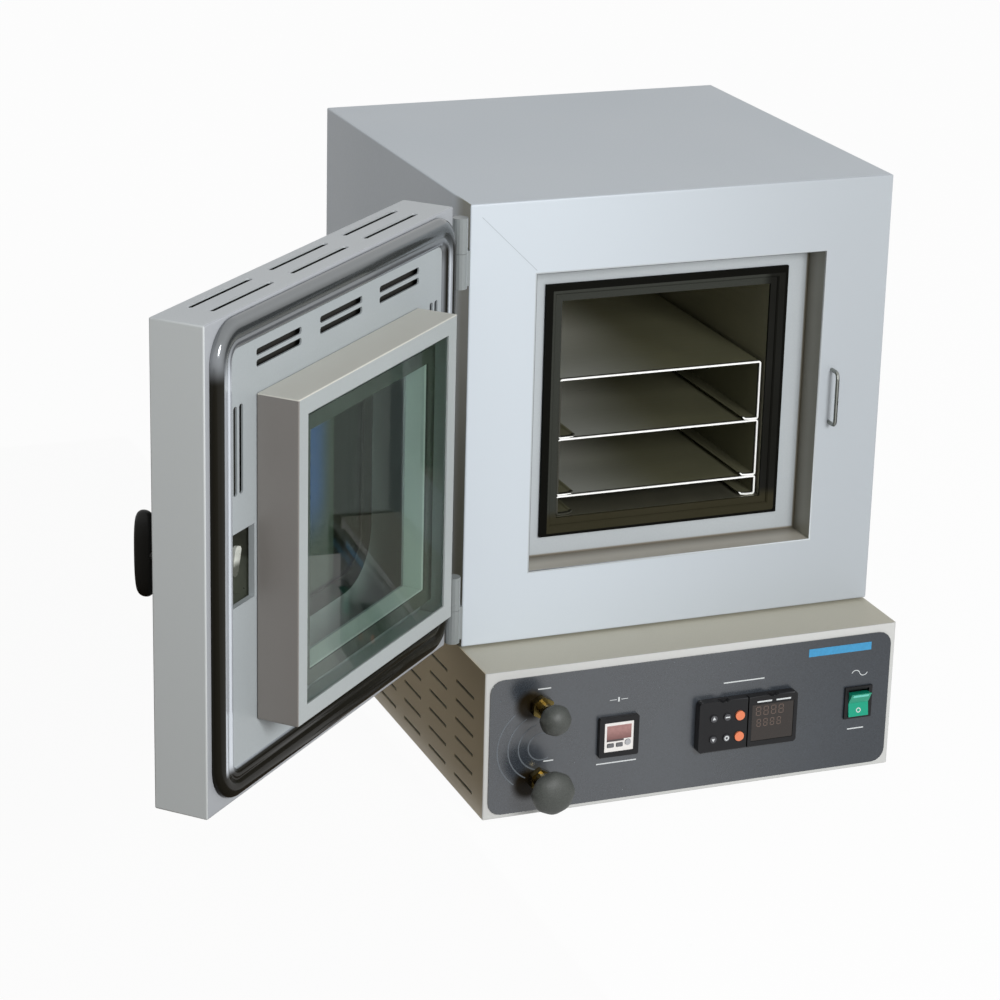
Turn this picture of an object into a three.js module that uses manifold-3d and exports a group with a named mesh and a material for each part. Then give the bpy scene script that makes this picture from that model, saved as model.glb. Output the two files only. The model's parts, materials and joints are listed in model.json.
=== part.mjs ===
// A bench-top vacuum drying oven with its door standing open.
// Millimetres, +Z up. X runs along the cabinet's width, Y from its front face to its back.
// The pieces are placed from the cabinet's own front face, and the finished group is moved
// so that its origin is under the middle of its box, on the surface that it stands on.
import * as THREE from "three";
import { mergeVertices } from "three/addons/utils/BufferGeometryUtils.js";
import Module from "manifold-3d";

const wasm = await Module();
wasm.setup();

// Driving dimensions

const gap = 0.3; // left between pieces that touch
const runningGap = 0.4; // left round a pin, stem or key that moves
const overrun = 2; // how far a cutter runs past what it cuts
const sheet = 1.5; // painted steel sheet

const foot = { radius: 12, height: 8, inset: 45, taper: 2 };

const base = { height: 136, reach: 59, plinth: 1.7, plinthInset: 6 };

const body = { width: 390, depth: 376, height: 393 };

// The slots' places run from the base's front, back, top and bottom to the outermost slots' middles.
const sideSlots = {
  length: 44,
  height: 3,
  columns: 6,
  rows: 6,
  fromFront: 48,
  fromBack: 59.5,
  fromTop: 33,
  fromBottom: 14.5,
};

const insulation = { beside: 97, behind: 23.2, chase: 31 };

const chamber = { wall: 3, flange: 27, flangeThickness: 3 };

const gasket = { width: 15, step: 9, sink: 2, chamfer: 1.2, radius: 6 };

const recess = { sideMargin: 21, endMargin: 19, depth: 32, rise: 0.5 };

const heater = { thickness: 3, depthShare: 0.8, heightShare: 0.8 };

const probe = { radius: 2.5, reach: 30, head: 6, headLength: 8 };

const pipe = { radius: 4, chase: 16, bend: 12, sides: 10, bendSteps: 3 };

// Places of the holes in the chamber's back, as shares of its inside, from its middle.
const portShares = { vacuum: [-0.306, -0.357], vent: [-0.459, -0.357], probe: [0, 0.306] };

const passage = { width: 70, depth: 24 };

const outlet = { side: -120, up: 55, flange: 11, flangeThickness: 3, barb: 5, length: 24, bore: 2 };

const inlet = { side: 120, up: 66, width: 30, height: 24, flange: 3, depth: 24, wall: 3, pocket: 14 };

const pin = { width: 2, height: 4, pitch: 7, length: 9 };

const relay = { width: 46, length: 60, height: 26, plate: 5, fins: 7, fin: 2, side: 60, back: 120 };

const overlay = { fromSide: 4.5, fromBottom: 4, fromTop: 7, thickness: 1, radius: 12 };

// Places of the controls, as shares of the base's width from its middle and of its height from its top.
const controlShares = {
  vent: [-0.37, 0.2544],
  vacuum: [-0.37, 0.75],
  gauge: [-0.1841, 0.5272],
  controller: [0.12692, 0.5375],
  rocker: [0.41128, 0.5206],
};

const valve = {
  neck: 7,
  body: 11,
  bodyLength: 30,
  nut: 10.5,
  nutLength: 7,
  ventCollar: 6.5,
  vacuumCollar: 8.5,
  collarLength: 10,
  stem: 3,
  stemLength: 16,
};

const knob = { vent: 13.8, vacuum: 19.5, depth: 16, stand: 28, bevel: 3, lobes: 8, lobeShare: 0.04 };

const gauge = {
  size: 37.2,
  proud: 4,
  radius: 2,
  body: 31,
  bodyLength: 34,
  face: 27,
  faceThickness: 1.5,
  faceSink: 0.5,
  ledge: 1.5,
  well: 4,
};

const gaugeButton = { width: 6, height: 3.4, round: 2.7, proud: 0.8, travel: 0.6, tail: 2 };

const controller = {
  width: 95,
  height: 48,
  proud: 8,
  radius: 4,
  body: 90,
  bodyHeight: 44,
  bodyLength: 62,
  split: -0.5,
  groove: 1.2,
  grooveDepth: 5,
  notch: 7,
  notchSink: 2.2,
  notchDepth: 5,
  window: 40,
  windowHeight: 34,
  windowDrop: 1.5,
  windowThickness: 2,
  windowSink: 0.4,
};

const key = { small: 3.2, large: 4.4, proud: 1.3, length: 4, travel: 0.8 };

const rocker = {
  frame: 26.6,
  frameHeight: 30,
  frameProud: 2,
  body: 22,
  bodyHeight: 25.6,
  bodyLength: 26,
  width: 19.4,
  height: 23.4,
  rise: 4,
  dip: 2.4,
  root: 7,
  tiltDegrees: 11,
};

const strike = { beside: 12.3, drop: 25.4, height: 51.7, reach: 14, bar: 1.75, bend: 5 };

const shelf = { fromSide: 2.5, fromBack: 12.6, sheet: 1.5, foot: 15.6, curl: 3, front: 4.2, bend: 2.2 };
const shelfHeights = [17.7, 51.9, 53.8]; // of the lowest, the middle and the top shelf

// The door reaches past the cabinet's sides and top, and stops short of the base.
const door = {
  thickness: 46,
  hingeOverlap: 5.5,
  freeOverlap: 2.5,
  topOverlap: 1.5,
  bottom: 8.7,
  standOff: 9.7,
  openDegrees: 136.8,
  flange: 26,
};

const doorSlots = { fromSide: 36, between: 28, width: 5.4, firstIn: 16, pitchIn: 18.3, columns: 3 };

const ring = { hingeMargin: 6, freeMargin: 9, bottomMargin: 8.8, topMargin: 4.5, width: 14.5, proud: 9.3, radius: 29 };

const seal = { thickness: 1.6, height: 7.8 };

const panel = { raise: 4, skirt: 1.5 };

const panelSlots = {
  fromSide: 45.7,
  between: 29,
  width: 5.4,
  row: 8.6,
  columns: 3,
  fromTop: 36.7,
  sideIn: 36.7,
  sideLength: 69,
  sideRise: 93.3,
};

// The box stays clear of the recess's walls and floor when the door is closed.
const box = { clearance: 2, short: 1.7, rim: 14, glass: 14 };

const retainer = { setIn: 19.7, flange: 12, wall: 2 };

// The outer window's opening is wider and higher than the chamber by these.
const outerGlass = { beside: 22, above: 2, radius: 40, thickness: 4 };

const glassSeal = { lip: 6, web: 3.4, skin: 1.6 };

// The latch's spindle and its pocket are placed round the strike loop that they meet.
const latch = {
  beside: 11.7,
  drop: 1,
  pocketHingeSide: 13.3,
  pocketFreeSide: 19.8,
  pocketBelow: 3.4,
  pocketAbove: 3.3,
  lip: 5,
  lipSheet: 1.2,
  caseDepth: 22,
  tongueReach: 19,
  tongueWidth: 9,
  tongueThickness: 2.7,
  tongueDegrees: 15,
  spindle: 4,
  stem: 6.5,
  grip: 71,
  gripWidth: 12,
  gripThickness: 9,
  gripStand: 28,
  gripSlant: 6,
  gripBevel: 1.5,
  spindleInGrip: 16,
};

const hinge = {
  radius: 6.4,
  pin: 3,
  axisOut: 11,
  axisForward: 5.64,
  length: 60,
  belowDoorTop: 9.8,
  aboveDoorBottom: 61.7,
  leaf: 2.5,
  leafDepth: 25,
  web: 5,
  webForward: 2,
  share: 0.5,
};

// Places worked out from the driving dimensions

const baseBottom = foot.height;
const baseTop = baseBottom + base.height;
const baseFront = -base.reach;
const bodyBottom = baseTop + base.plinth + gap;
const bodyTop = baseTop + body.height;
const side = body.width / 2;
const openingZ = baseTop + body.height / 2 + recess.rise;

const chamberInside = body.width - 2 * insulation.beside;
const chamberOutside = chamberInside + 2 * chamber.wall;
const gasketOutside = chamberInside + 2 * gasket.width;
const recessWidth = gasketOutside + 2 * recess.sideMargin;
const recessHeight = gasketOutside + 2 * recess.endMargin;

const surroundFront = recess.depth;
const flangeFront = surroundFront + sheet + gap;
const flangeBack = flangeFront + chamber.flangeThickness;
const insulationBack = body.depth - insulation.chase;
const chamberBack = insulationBack - insulation.behind;
const chamberFloor = chamberBack - chamber.wall; // the inside of the chamber's back wall
const chaseY = insulationBack + pipe.chase;

const strikeX = recessWidth / 2 + strike.beside;
const strikeBottom = openingZ - strike.drop;

const doorLeft = -side - door.hingeOverlap;
const doorRight = side + door.freeOverlap;
const doorWidth = doorRight - doorLeft;
const doorBottom = baseTop + door.bottom;
const doorTop = bodyTop + door.topOverlap;
const doorHeight = doorTop - doorBottom;
const doorMiddle = (doorLeft + doorRight) / 2;
const innerFace = -door.standOff; // the door's flange, when the door is closed
const outerFace = innerFace - door.thickness;
const boxSize = recessHeight - 2 * box.clearance;
const boxFront = recess.depth - box.short;
const outerWidth = chamberInside + 2 * outerGlass.beside;
const outerHeight = chamberInside + 2 * outerGlass.above;
const glassFront = boxFront - sheet - gap;
const glassBack = glassFront - box.glass;
const gasketFront = glassFront + gap;
const gasketBack = flangeFront - gap;

const ringWidth = doorWidth - ring.hingeMargin - ring.freeMargin;
const ringHeight = doorHeight - ring.bottomMargin - ring.topMargin;
const ringX = doorLeft + ring.hingeMargin + ringWidth / 2;
const ringZ = doorBottom + ring.bottomMargin + ringHeight / 2;
const panelInset = ring.width + gap;
const panelWidth = ringWidth - 2 * panelInset;
const panelHeight = ringHeight - 2 * panelInset;
const panelFront = innerFace + panel.raise;

const hingeX = -side - hinge.axisOut;
const hingeY = -hinge.axisForward;
const hingeTops = { upper: doorTop - hinge.belowDoorTop, lower: doorBottom + hinge.aboveDoorBottom };

const overlayFront = baseFront - gap - overlay.thickness;
const panelPieceFront = overlayFront - gap; // the back of what stands proud of the overlay
const baseInside = baseFront + sheet;

const degrees = Math.PI / 180;
const roundSteps = 2; // curve segments, which make four steps in a quarter circle
const fineSteps = 3; // and six steps in a quarter circle
const cornerSteps = 2 * fineSteps;

// Helpers

function solidOf(geometry) {
  const bare = geometry.clone();
  bare.deleteAttribute("normal");
  bare.deleteAttribute("uv");
  const merged = mergeVertices(bare);
  const vertProperties = merged.attributes.position.array;
  const triVerts = new Uint32Array(merged.index.array);
  return new wasm.Manifold(new wasm.Mesh({ numProp: 3, vertProperties, triVerts }));
}

function geometryOf(solid) {
  const mesh = solid.getMesh();
  const geometry = new THREE.BufferGeometry();
  geometry.setAttribute("position", new THREE.BufferAttribute(mesh.vertProperties, 3));
  geometry.setIndex(new THREE.BufferAttribute(mesh.triVerts, 1));
  const flat = geometry.toNonIndexed();
  flat.computeVertexNormals();
  return flat;
}

function join(...geometries) {
  const solids = geometries.map(solidOf);
  return geometryOf(solids.reduce((whole, next) => whole.add(next)));
}

function cut(geometry, ...cutters) {
  const solids = cutters.map(solidOf);
  return geometryOf(solids.reduce((whole, next) => whole.subtract(next), solidOf(geometry)));
}

// A box from its lowest to its highest place along each axis.
function block(x, y, z) {
  const geometry = new THREE.BoxGeometry(x[1] - x[0], y[1] - y[0], z[1] - z[0]);
  return geometry.translate((x[0] + x[1]) / 2, (y[0] + y[1]) / 2, (z[0] + z[1]) / 2);
}

// A range of the given size round a middle.
function around(middle, size) {
  return [middle - size / 2, middle + size / 2];
}

function roundedRectangle(width, height, radius) {
  const x = width / 2 - radius;
  const y = height / 2 - radius;
  const shape = new THREE.Shape();
  shape.absarc(x, y, radius, 0, Math.PI / 2);
  shape.absarc(-x, y, radius, Math.PI / 2, Math.PI);
  shape.absarc(-x, -y, radius, Math.PI, (3 * Math.PI) / 2);
  shape.absarc(x, -y, radius, (3 * Math.PI) / 2, 2 * Math.PI);
  return shape;
}

function circle(radius) {
  return roundedRectangle(2 * radius, 2 * radius, radius);
}

// A slot with bevelled ends, drawn with eight points.
function slotShape(length, width) {
  const end = length / 2;
  const half = width / 2;
  const corner = Math.min(end, half) / 2;
  const shape = new THREE.Shape();
  shape.moveTo(end, corner - half);
  shape.lineTo(end, half - corner);
  shape.lineTo(end - corner, half);
  shape.lineTo(corner - end, half);
  shape.lineTo(-end, half - corner);
  shape.lineTo(-end, corner - half);
  shape.lineTo(corner - end, -half);
  shape.lineTo(end - corner, -half);
  shape.closePath();
  return shape;
}

function extrude(shape, depth, curveSegments = roundSteps) {
  return new THREE.ExtrudeGeometry(shape, { depth, bevelEnabled: false, curveSegments });
}

const facingFront = new THREE.Matrix4().makeBasis(
  new THREE.Vector3(1, 0, 0),
  new THREE.Vector3(0, 0, 1),
  new THREE.Vector3(0, -1, 0),
);

const facingSide = new THREE.Matrix4().makeBasis(
  new THREE.Vector3(0, 1, 0),
  new THREE.Vector3(0, 0, 1),
  new THREE.Vector3(1, 0, 0),
);

// A plate that faces the front: its shape lies in X and Z, and it fills the range y.
function frontPlate(shape, x, y, z, curveSegments) {
  return extrude(shape, y[1] - y[0], curveSegments).applyMatrix4(facingFront).translate(x, y[1], z);
}

// A round bar along Y.
function rod(radius, x, y, z) {
  return frontPlate(circle(radius), x, y, z);
}

// A turned piece along Y. Its profile is a list of radius and place along Y.
function turned(profile, x, z, sides) {
  const points = profile.map(([radius, y]) => new THREE.Vector2(radius, y));
  return new THREE.LatheGeometry(points, sides).translate(x, 0, z);
}

// A closed frame whose section is swept round a rectangle, with round or mitred corners.
// The section is a list of inset from the outline and place along Y.
function sweptFrame(width, height, radius, outline, steps) {
  const points = outline.map(([inset, y]) => new THREE.Vector2(inset, y));
  const section = THREE.ShapeUtils.isClockWise(points) ? [...outline].reverse() : outline;
  const stations = [];
  const corners = [[1, 1], [-1, 1], [-1, -1], [1, -1]];
  corners.forEach(([sx, sz], quarter) => {
    for (let step = 0; step <= steps; step++) {
      const angle = ((quarter + (steps ? step / steps : 0)) * Math.PI) / 2;
      stations.push({ sx, sz, angle });
    }
  });
  const positions = [];
  for (const { sx, sz, angle } of stations) {
    for (const [inset, y] of section) {
      const swing = Math.max(radius - inset, 0);
      const back = Math.max(radius, inset);
      const x = sx * (width / 2 - back) + swing * Math.cos(angle);
      const z = sz * (height / 2 - back) + swing * Math.sin(angle);
      positions.push(x, y, z);
    }
  }
  const count = section.length;
  const corner = (i, j) => positions.slice(3 * (i * count + j), 3 * (i * count + j) + 3);
  const triangles = [];
  const differ = (p, q) => p.some((value, axis) => value !== q[axis]);
  stations.forEach((station, i) => {
    const next = (i + 1) % stations.length;
    for (let j = 0; j < count; j++) {
      const after = (j + 1) % count;
      const [a, b] = [corner(i, j), corner(i, after)];
      const [c, d] = [corner(next, j), corner(next, after)];
      if (differ(a, c)) triangles.push(...a, ...c, ...b);
      if (differ(b, d)) triangles.push(...b, ...c, ...d);
    }
  });
  const geometry = new THREE.BufferGeometry();
  geometry.setAttribute("position", new THREE.Float32BufferAttribute(triangles, 3));
  geometry.computeVertexNormals();
  return geometry;
}

// A bent round bar through a list of places, with an easy bend at each place between its ends.
function bentBar(places, radius, bend) {
  const corners = places.map((place) => new THREE.Vector3(...place));
  const path = [corners[0]];
  for (let i = 1; i < corners.length - 1; i++) {
    const before = corners[i - 1].clone().sub(corners[i]).setLength(bend).add(corners[i]);
    const after = corners[i + 1].clone().sub(corners[i]).setLength(bend).add(corners[i]);
    path.push(...new THREE.QuadraticBezierCurve3(before, corners[i], after).getPoints(pipe.bendSteps));
  }
  path.push(corners[corners.length - 1]);
  const directions = path.slice(1).map((point, i) => point.clone().sub(path[i]).normalize());
  const first = directions[0];
  const across = new THREE.Vector3(first.y, first.z, first.x).cross(first).normalize();
  const upward = first.clone().cross(across);
  let ringPoints = [];
  for (let k = 0; k < pipe.sides; k++) {
    const angle = (2 * Math.PI * k) / pipe.sides;
    const point = path[0].clone().addScaledVector(across, radius * Math.cos(angle));
    ringPoints.push(point.addScaledVector(upward, radius * Math.sin(angle)));
  }
  const triangles = [];
  const triangle = (...points) => points.forEach((point) => triangles.push(...point.toArray()));
  const next = (k) => (k + 1) % pipe.sides;
  ringPoints.forEach((point, k) => triangle(path[0], ringPoints[next(k)], point));
  directions.forEach((direction, i) => {
    const after = directions[i + 1] ?? direction;
    const normal = direction.clone().add(after);
    const moved = ringPoints.map((point) => {
      const run = path[i + 1].clone().sub(point).dot(normal) / direction.dot(normal);
      return point.clone().addScaledVector(direction, run);
    });
    moved.forEach((point, k) => {
      triangle(ringPoints[k], ringPoints[next(k)], moved[next(k)]);
      triangle(ringPoints[k], moved[next(k)], point);
    });
    ringPoints = moved;
  });
  const end = path[path.length - 1];
  ringPoints.forEach((point, k) => triangle(end, point, ringPoints[next(k)]));
  const geometry = new THREE.BufferGeometry();
  geometry.setAttribute("position", new THREE.Float32BufferAttribute(triangles, 3));
  geometry.computeVertexNormals();
  return geometry;
}

// Finishes

function finish(color, roughness, metalness) {
  return { color, roughness, metalness };
}

const finishes = {
  paint: finish(0xc9cfd4, 0.5, 0.1),
  innerPaint: finish(0xc3cdd6, 0.5, 0.1),
  boxPaint: finish(0xb9b6ab, 0.5, 0.1),
  overlay: finish(0x4b5058, 0.55, 0),
  stainless: finish(0xb5b5ac, 0.35, 1),
  polished: finish(0x9aa0a5, 0.15, 1),
  rubber: finish(0x16140f, 0.7, 0),
  blackPlastic: finish(0x1b1b1d, 0.45, 0),
  knobPlastic: finish(0x4c4d43, 0.7, 0),
  brass: finish(0xc09a3e, 0.3, 1),
  zincSteel: finish(0xa7a8a3, 0.4, 1),
  glass: finish(0xbfd6cd, 0.05, 0),
  wool: finish(0xd6cfae, 0.95, 0),
  heaterMat: finish(0x8a3324, 0.8, 0),
  copper: finish(0xb0703f, 0.35, 1),
  faceWhite: finish(0xe8e6e2, 0.5, 0),
  greyKey: finish(0x6e6e70, 0.6, 0),
  orangeKey: finish(0xe8825a, 0.5, 0),
  darkKey: finish(0x2a2a2c, 0.5, 0),
  smoked: finish(0x241f1d, 0.2, 0),
  greenLens: finish(0x1fa878, 0.3, 0),
};

const group = new THREE.Group();

function add(name, geometry, look, parent = group) {
  const mesh = new THREE.Mesh(geometry, new THREE.MeshStandardMaterial(finishes[look]));
  mesh.name = name;
  parent.add(mesh);
}

// Places on the control panel, all on the base's front

function controlPlace(name) {
  const [across, down] = controlShares[name];
  return [across * body.width, baseTop - down * base.height];
}

const centres = Object.fromEntries(Object.keys(controlShares).map((name) => [name, controlPlace(name)]));

function panelCutters() {
  const through = [baseFront - overlay.thickness - overrun, baseInside + overrun];
  const necks = ["vent", "vacuum"].map((name) => {
    const [x, z] = centres[name];
    return rod(valve.neck + gap, x, through, z);
  });
  const [gaugeX, gaugeZ] = centres.gauge;
  const [controllerX, controllerZ] = centres.controller;
  const [rockerX, rockerZ] = centres.rocker;
  return [
    ...necks,
    block(around(gaugeX, gauge.body + 2 * gap), through, around(gaugeZ, gauge.body + 2 * gap)),
    block(
      around(controllerX, controller.body + 2 * gap),
      through,
      around(controllerZ, controller.bodyHeight + 2 * gap),
    ),
    block(around(rockerX, rocker.body + 2 * gap), through, around(rockerZ, rocker.bodyHeight + 2 * gap)),
  ];
}

function portPlace(name) {
  const [across, up] = portShares[name];
  return [across * chamberInside, openingZ + up * chamberInside];
}

function passageCutter() {
  const middle = (portPlace("vacuum")[0] + portPlace("vent")[0]) / 2;
  return block(
    around(middle, passage.width),
    around(chaseY, passage.depth),
    [baseTop - sheet - overrun, bodyBottom + sheet + overrun],
  );
}

// The base

function baseShell() {
  const outer = block([-side, side], [baseFront, body.depth], [baseBottom, baseTop]);
  const inner = block(
    [sheet - side, side - sheet],
    [baseInside, body.depth - sheet],
    [baseBottom - overrun, baseTop - sheet],
  );
  const plinth = block(
    [base.plinthInset - side, side - base.plinthInset],
    [base.plinthInset, body.depth - base.plinthInset],
    [baseTop - sheet / 2, baseTop + base.plinth],
  );
  const slots = [];
  const along = base.reach + body.depth - sideSlots.fromFront - sideSlots.fromBack;
  const down = base.height - sideSlots.fromTop - sideSlots.fromBottom;
  for (let column = 0; column < sideSlots.columns; column++) {
    for (let row = 0; row < sideSlots.rows; row++) {
      const y = baseFront + sideSlots.fromFront + (column * along) / (sideSlots.columns - 1);
      const z = baseTop - sideSlots.fromTop - (row * down) / (sideSlots.rows - 1);
      const slot = extrude(slotShape(sideSlots.length, sideSlots.height), body.width + 2 * overrun);
      slots.push(slot.applyMatrix4(facingSide).translate(-side - overrun, y, z));
    }
  }
  const rearWall = [body.depth - sheet - overrun, body.depth + overrun];
  return cut(
    join(cut(outer, inner), plinth),
    ...slots,
    ...panelCutters(),
    passageCutter(),
    rod(outlet.barb + gap, outlet.side, rearWall, baseBottom + outlet.up),
    block(
      around(inlet.side, inlet.width + 2 * gap),
      rearWall,
      around(baseBottom + inlet.up, inlet.height + 2 * gap),
    ),
  );
}

function baseBottomPan() {
  const inset = sheet + gap;
  return block(
    [inset - side, side - inset],
    [baseFront + inset, body.depth - inset],
    [baseBottom, baseBottom + sheet],
  );
}

function addFeet() {
  const ends = { front: baseFront + foot.inset, rear: body.depth - foot.inset };
  const sides = { left: foot.inset - side, right: side - foot.inset };
  const top = foot.height - gap;
  for (const [endName, y] of Object.entries(ends)) {
    for (const [sideName, x] of Object.entries(sides)) {
      const puck = new THREE.CylinderGeometry(foot.radius, foot.radius - foot.taper, top, 4 * 2 * roundSteps);
      add(`foot_${endName}_${sideName}`, puck.rotateX(Math.PI / 2).translate(x, y, top / 2), "rubber");
    }
  }
}

function controlOverlay() {
  const width = body.width - 2 * overlay.fromSide;
  const height = base.height - overlay.fromBottom - overlay.fromTop;
  const z = baseBottom + overlay.fromBottom + height / 2;
  const shape = roundedRectangle(width, height, overlay.radius);
  return cut(frontPlate(shape, 0, [overlayFront, baseFront - gap], z), ...panelCutters());
}

function vacuumOutlet() {
  const face = body.depth + gap;
  const flangeEnd = face + outlet.flangeThickness;
  const tip = flangeEnd + outlet.length;
  const barbStep = outlet.length / 3;
  const profile = [
    [outlet.bore, face - 2 * outlet.flangeThickness],
    [outlet.barb, face - 2 * outlet.flangeThickness],
    [outlet.barb, face],
    [outlet.flange, face],
    [outlet.flange, flangeEnd],
    [outlet.barb, flangeEnd],
    [outlet.barb, tip - 2 * barbStep],
    [outlet.barb + sheet, tip - 2 * barbStep],
    [outlet.barb, tip - barbStep],
    [outlet.barb + sheet, tip - barbStep],
    [outlet.barb - sheet, tip],
    [outlet.bore, tip],
  ];
  profile.push(profile[0]);
  return turned(profile, outlet.side, baseBottom + outlet.up, 4 * 2 * roundSteps);
}

function powerInlet() {
  const z = baseBottom + inlet.up;
  const face = body.depth + gap;
  const lap = inlet.wall;
  const case_ = block(
    around(inlet.side, inlet.width),
    [face - inlet.depth, face + inlet.flange],
    around(z, inlet.height),
  );
  const flange = block(
    around(inlet.side, inlet.width + 2 * lap),
    [face, face + inlet.flange],
    around(z, inlet.height + 2 * lap),
  );
  const floor = face + inlet.flange - inlet.pocket;
  const pocket = block(
    around(inlet.side, inlet.width - 2 * inlet.wall),
    [floor, face + inlet.flange + overrun],
    around(z, inlet.height - 2 * inlet.wall),
  );
  const pins = [-1, 0, 1].map((place) =>
    block(
      around(inlet.side + place * pin.pitch, pin.width),
      [floor - inlet.wall / 2, floor + pin.length],
      around(z, pin.height),
    ),
  );
  return join(cut(join(case_, flange), pocket), ...pins);
}

function solidStateRelay() {
  const shape = new THREE.Shape();
  const left = relay.side - relay.width / 2;
  const bottom = baseBottom + sheet + gap;
  const top = bottom + relay.height;
  const pitch = (relay.width - relay.fin) / (relay.fins - 1);
  shape.moveTo(left, bottom);
  shape.lineTo(left + relay.width, bottom);
  for (let fin = relay.fins - 1; fin >= 0; fin--) {
    const x = left + fin * pitch;
    if (fin < relay.fins - 1) shape.lineTo(x + relay.fin, bottom + relay.plate);
    shape.lineTo(x + relay.fin, top);
    shape.lineTo(x, top);
    if (fin > 0) shape.lineTo(x, bottom + relay.plate);
  }
  shape.closePath();
  const back = body.depth - relay.back;
  return frontPlate(shape, 0, [back - relay.length, back], 0);
}

// The cabinet

function bodyShell() {
  const outer = block([-side, side], [0, body.depth], [bodyBottom, bodyTop]);
  const inner = block(
    [sheet - side, side - sheet],
    [sheet, body.depth + overrun],
    [bodyBottom + sheet, bodyTop - sheet],
  );
  const opening = block(
    around(0, recessWidth + 2 * (sheet + gap)),
    [-overrun, sheet + overrun],
    around(openingZ, recessHeight + 2 * (sheet + gap)),
  );
  return cut(outer, inner, opening, passageCutter());
}

// The recess round the chamber's mouth: a tray of folded sheet, flush with the cabinet's front.
function chamberSurround() {
  const tray = block(
    around(0, recessWidth + 2 * sheet),
    [0, surroundFront + sheet],
    around(openingZ, recessHeight + 2 * sheet),
  );
  const within = block(around(0, recessWidth), [-overrun, surroundFront], around(openingZ, recessHeight));
  const size = gasketOutside + 2 * gap;
  const outline = roundedRectangle(size, size, gasket.radius + gap);
  const through = [surroundFront - overrun, surroundFront + sheet + overrun];
  return cut(tray, within, frontPlate(outline, 0, through, openingZ, fineSteps));
}

function rearPanel() {
  const inset = sheet + gap;
  return block(
    [inset - side, side - inset],
    [body.depth - sheet, body.depth],
    [bodyBottom + inset, bodyTop - inset],
  );
}

function backCutters(clearance) {
  const y = [chamberFloor - overrun, insulationBack + overrun];
  const radii = { vacuum: pipe.radius, vent: pipe.radius, probe: probe.radius };
  return Object.entries(radii).map(([name, radius]) => {
    const [x, z] = portPlace(name);
    return rod(radius + clearance, x, y, z);
  });
}

function chamberBox() {
  const flangeSize = chamberInside + 2 * chamber.flange;
  const flange = block(around(0, flangeSize), [flangeFront, flangeBack], around(openingZ, flangeSize));
  const tube = block(around(0, chamberOutside), [flangeFront, chamberBack], around(openingZ, chamberOutside));
  const hollow = block(
    around(0, chamberInside),
    [flangeFront - overrun, chamberFloor],
    around(openingZ, chamberInside),
  );
  return cut(join(flange, tube), hollow, ...backCutters(gap));
}

function chamberGasket() {
  const section = [
    [0, gasketBack],
    [0, gasketFront + gasket.chamfer],
    [gasket.chamfer, gasketFront],
    [gasket.step - gasket.chamfer, gasketFront],
    [gasket.step, gasketFront + gasket.chamfer],
    [gasket.step, gasketFront + gasket.sink],
    [gasket.width, gasketFront + gasket.sink],
    [gasket.width, gasketBack],
  ];
  const frame = sweptFrame(gasketOutside, gasketOutside, gasket.radius, section, cornerSteps);
  return frame.translate(0, 0, openingZ);
}

function insulationBlock() {
  const inset = sheet + gap;
  const outer = block(
    [inset - side, side - inset],
    [flangeBack + gap, insulationBack],
    [bodyBottom + inset, bodyTop - inset],
  );
  const cavity = block(
    around(0, chamberOutside + 2 * (heater.thickness + 2 * gap)),
    [flangeBack + gap - overrun, chamberBack + gap],
    around(openingZ, chamberOutside + 2 * gap),
  );
  return cut(outer, cavity, ...backCutters(gap));
}

function heaterMat(sign) {
  const inner = sign * (chamberOutside / 2 + gap);
  const outer = inner + sign * heater.thickness;
  return block(
    [Math.min(inner, outer), Math.max(inner, outer)],
    around((flangeFront + chamberBack) / 2, (chamberFloor - flangeFront) * heater.depthShare),
    around(openingZ, chamberInside * heater.heightShare),
  );
}

function temperatureProbe() {
  const [x, z] = portPlace("probe");
  const head = insulationBack + gap;
  const rodPart = rod(probe.radius, x, [chamberFloor - probe.reach, head + overrun], z);
  return join(rodPart, rod(probe.head, x, [head, head + probe.headLength], z));
}

function backPipe(name) {
  const [portX, portZ] = portPlace(name);
  const [valveX, valveZ] = centres[name];
  const valveBack = baseInside + gap + valve.bodyLength + gap;
  const places = [
    [portX, chamberFloor, portZ],
    [portX, chaseY, portZ],
    [portX, chaseY, valveZ],
    [valveX, chaseY, valveZ],
    [valveX, valveBack, valveZ],
  ];
  return bentBar(places, pipe.radius, pipe.bend);
}

function strikeLoop() {
  const y = strike.bar - strike.reach;
  const low = strikeBottom + strike.bar;
  const high = strikeBottom + strike.height - strike.bar;
  const places = [
    [strikeX, -gap, low],
    [strikeX, y, low],
    [strikeX, y, high],
    [strikeX, -gap, high],
  ];
  return bentBar(places, strike.bar, strike.bend);
}

// The controls

function brassValve(name) {
  const [x, z] = centres[name];
  const nutFront = panelPieceFront - valve.nutLength;
  const collarFront = nutFront - valve.collarLength;
  const tip = collarFront - valve.stemLength;
  const bodyFront = baseInside + gap;
  const nut = new THREE.CylinderGeometry(valve.nut, valve.nut, valve.nutLength, 6);
  return join(
    rod(valve.body, x, [bodyFront, bodyFront + valve.bodyLength], z),
    rod(valve.neck, x, [nutFront, bodyFront + valve.nutLength], z),
    nut.translate(x, panelPieceFront - valve.nutLength / 2, z),
    rod(valve[`${name}Collar`], x, [collarFront, nutFront + valve.nutLength / 2], z),
    rod(valve.stem, x, [tip, collarFront + valve.collarLength / 2], z),
  );
}

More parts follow.
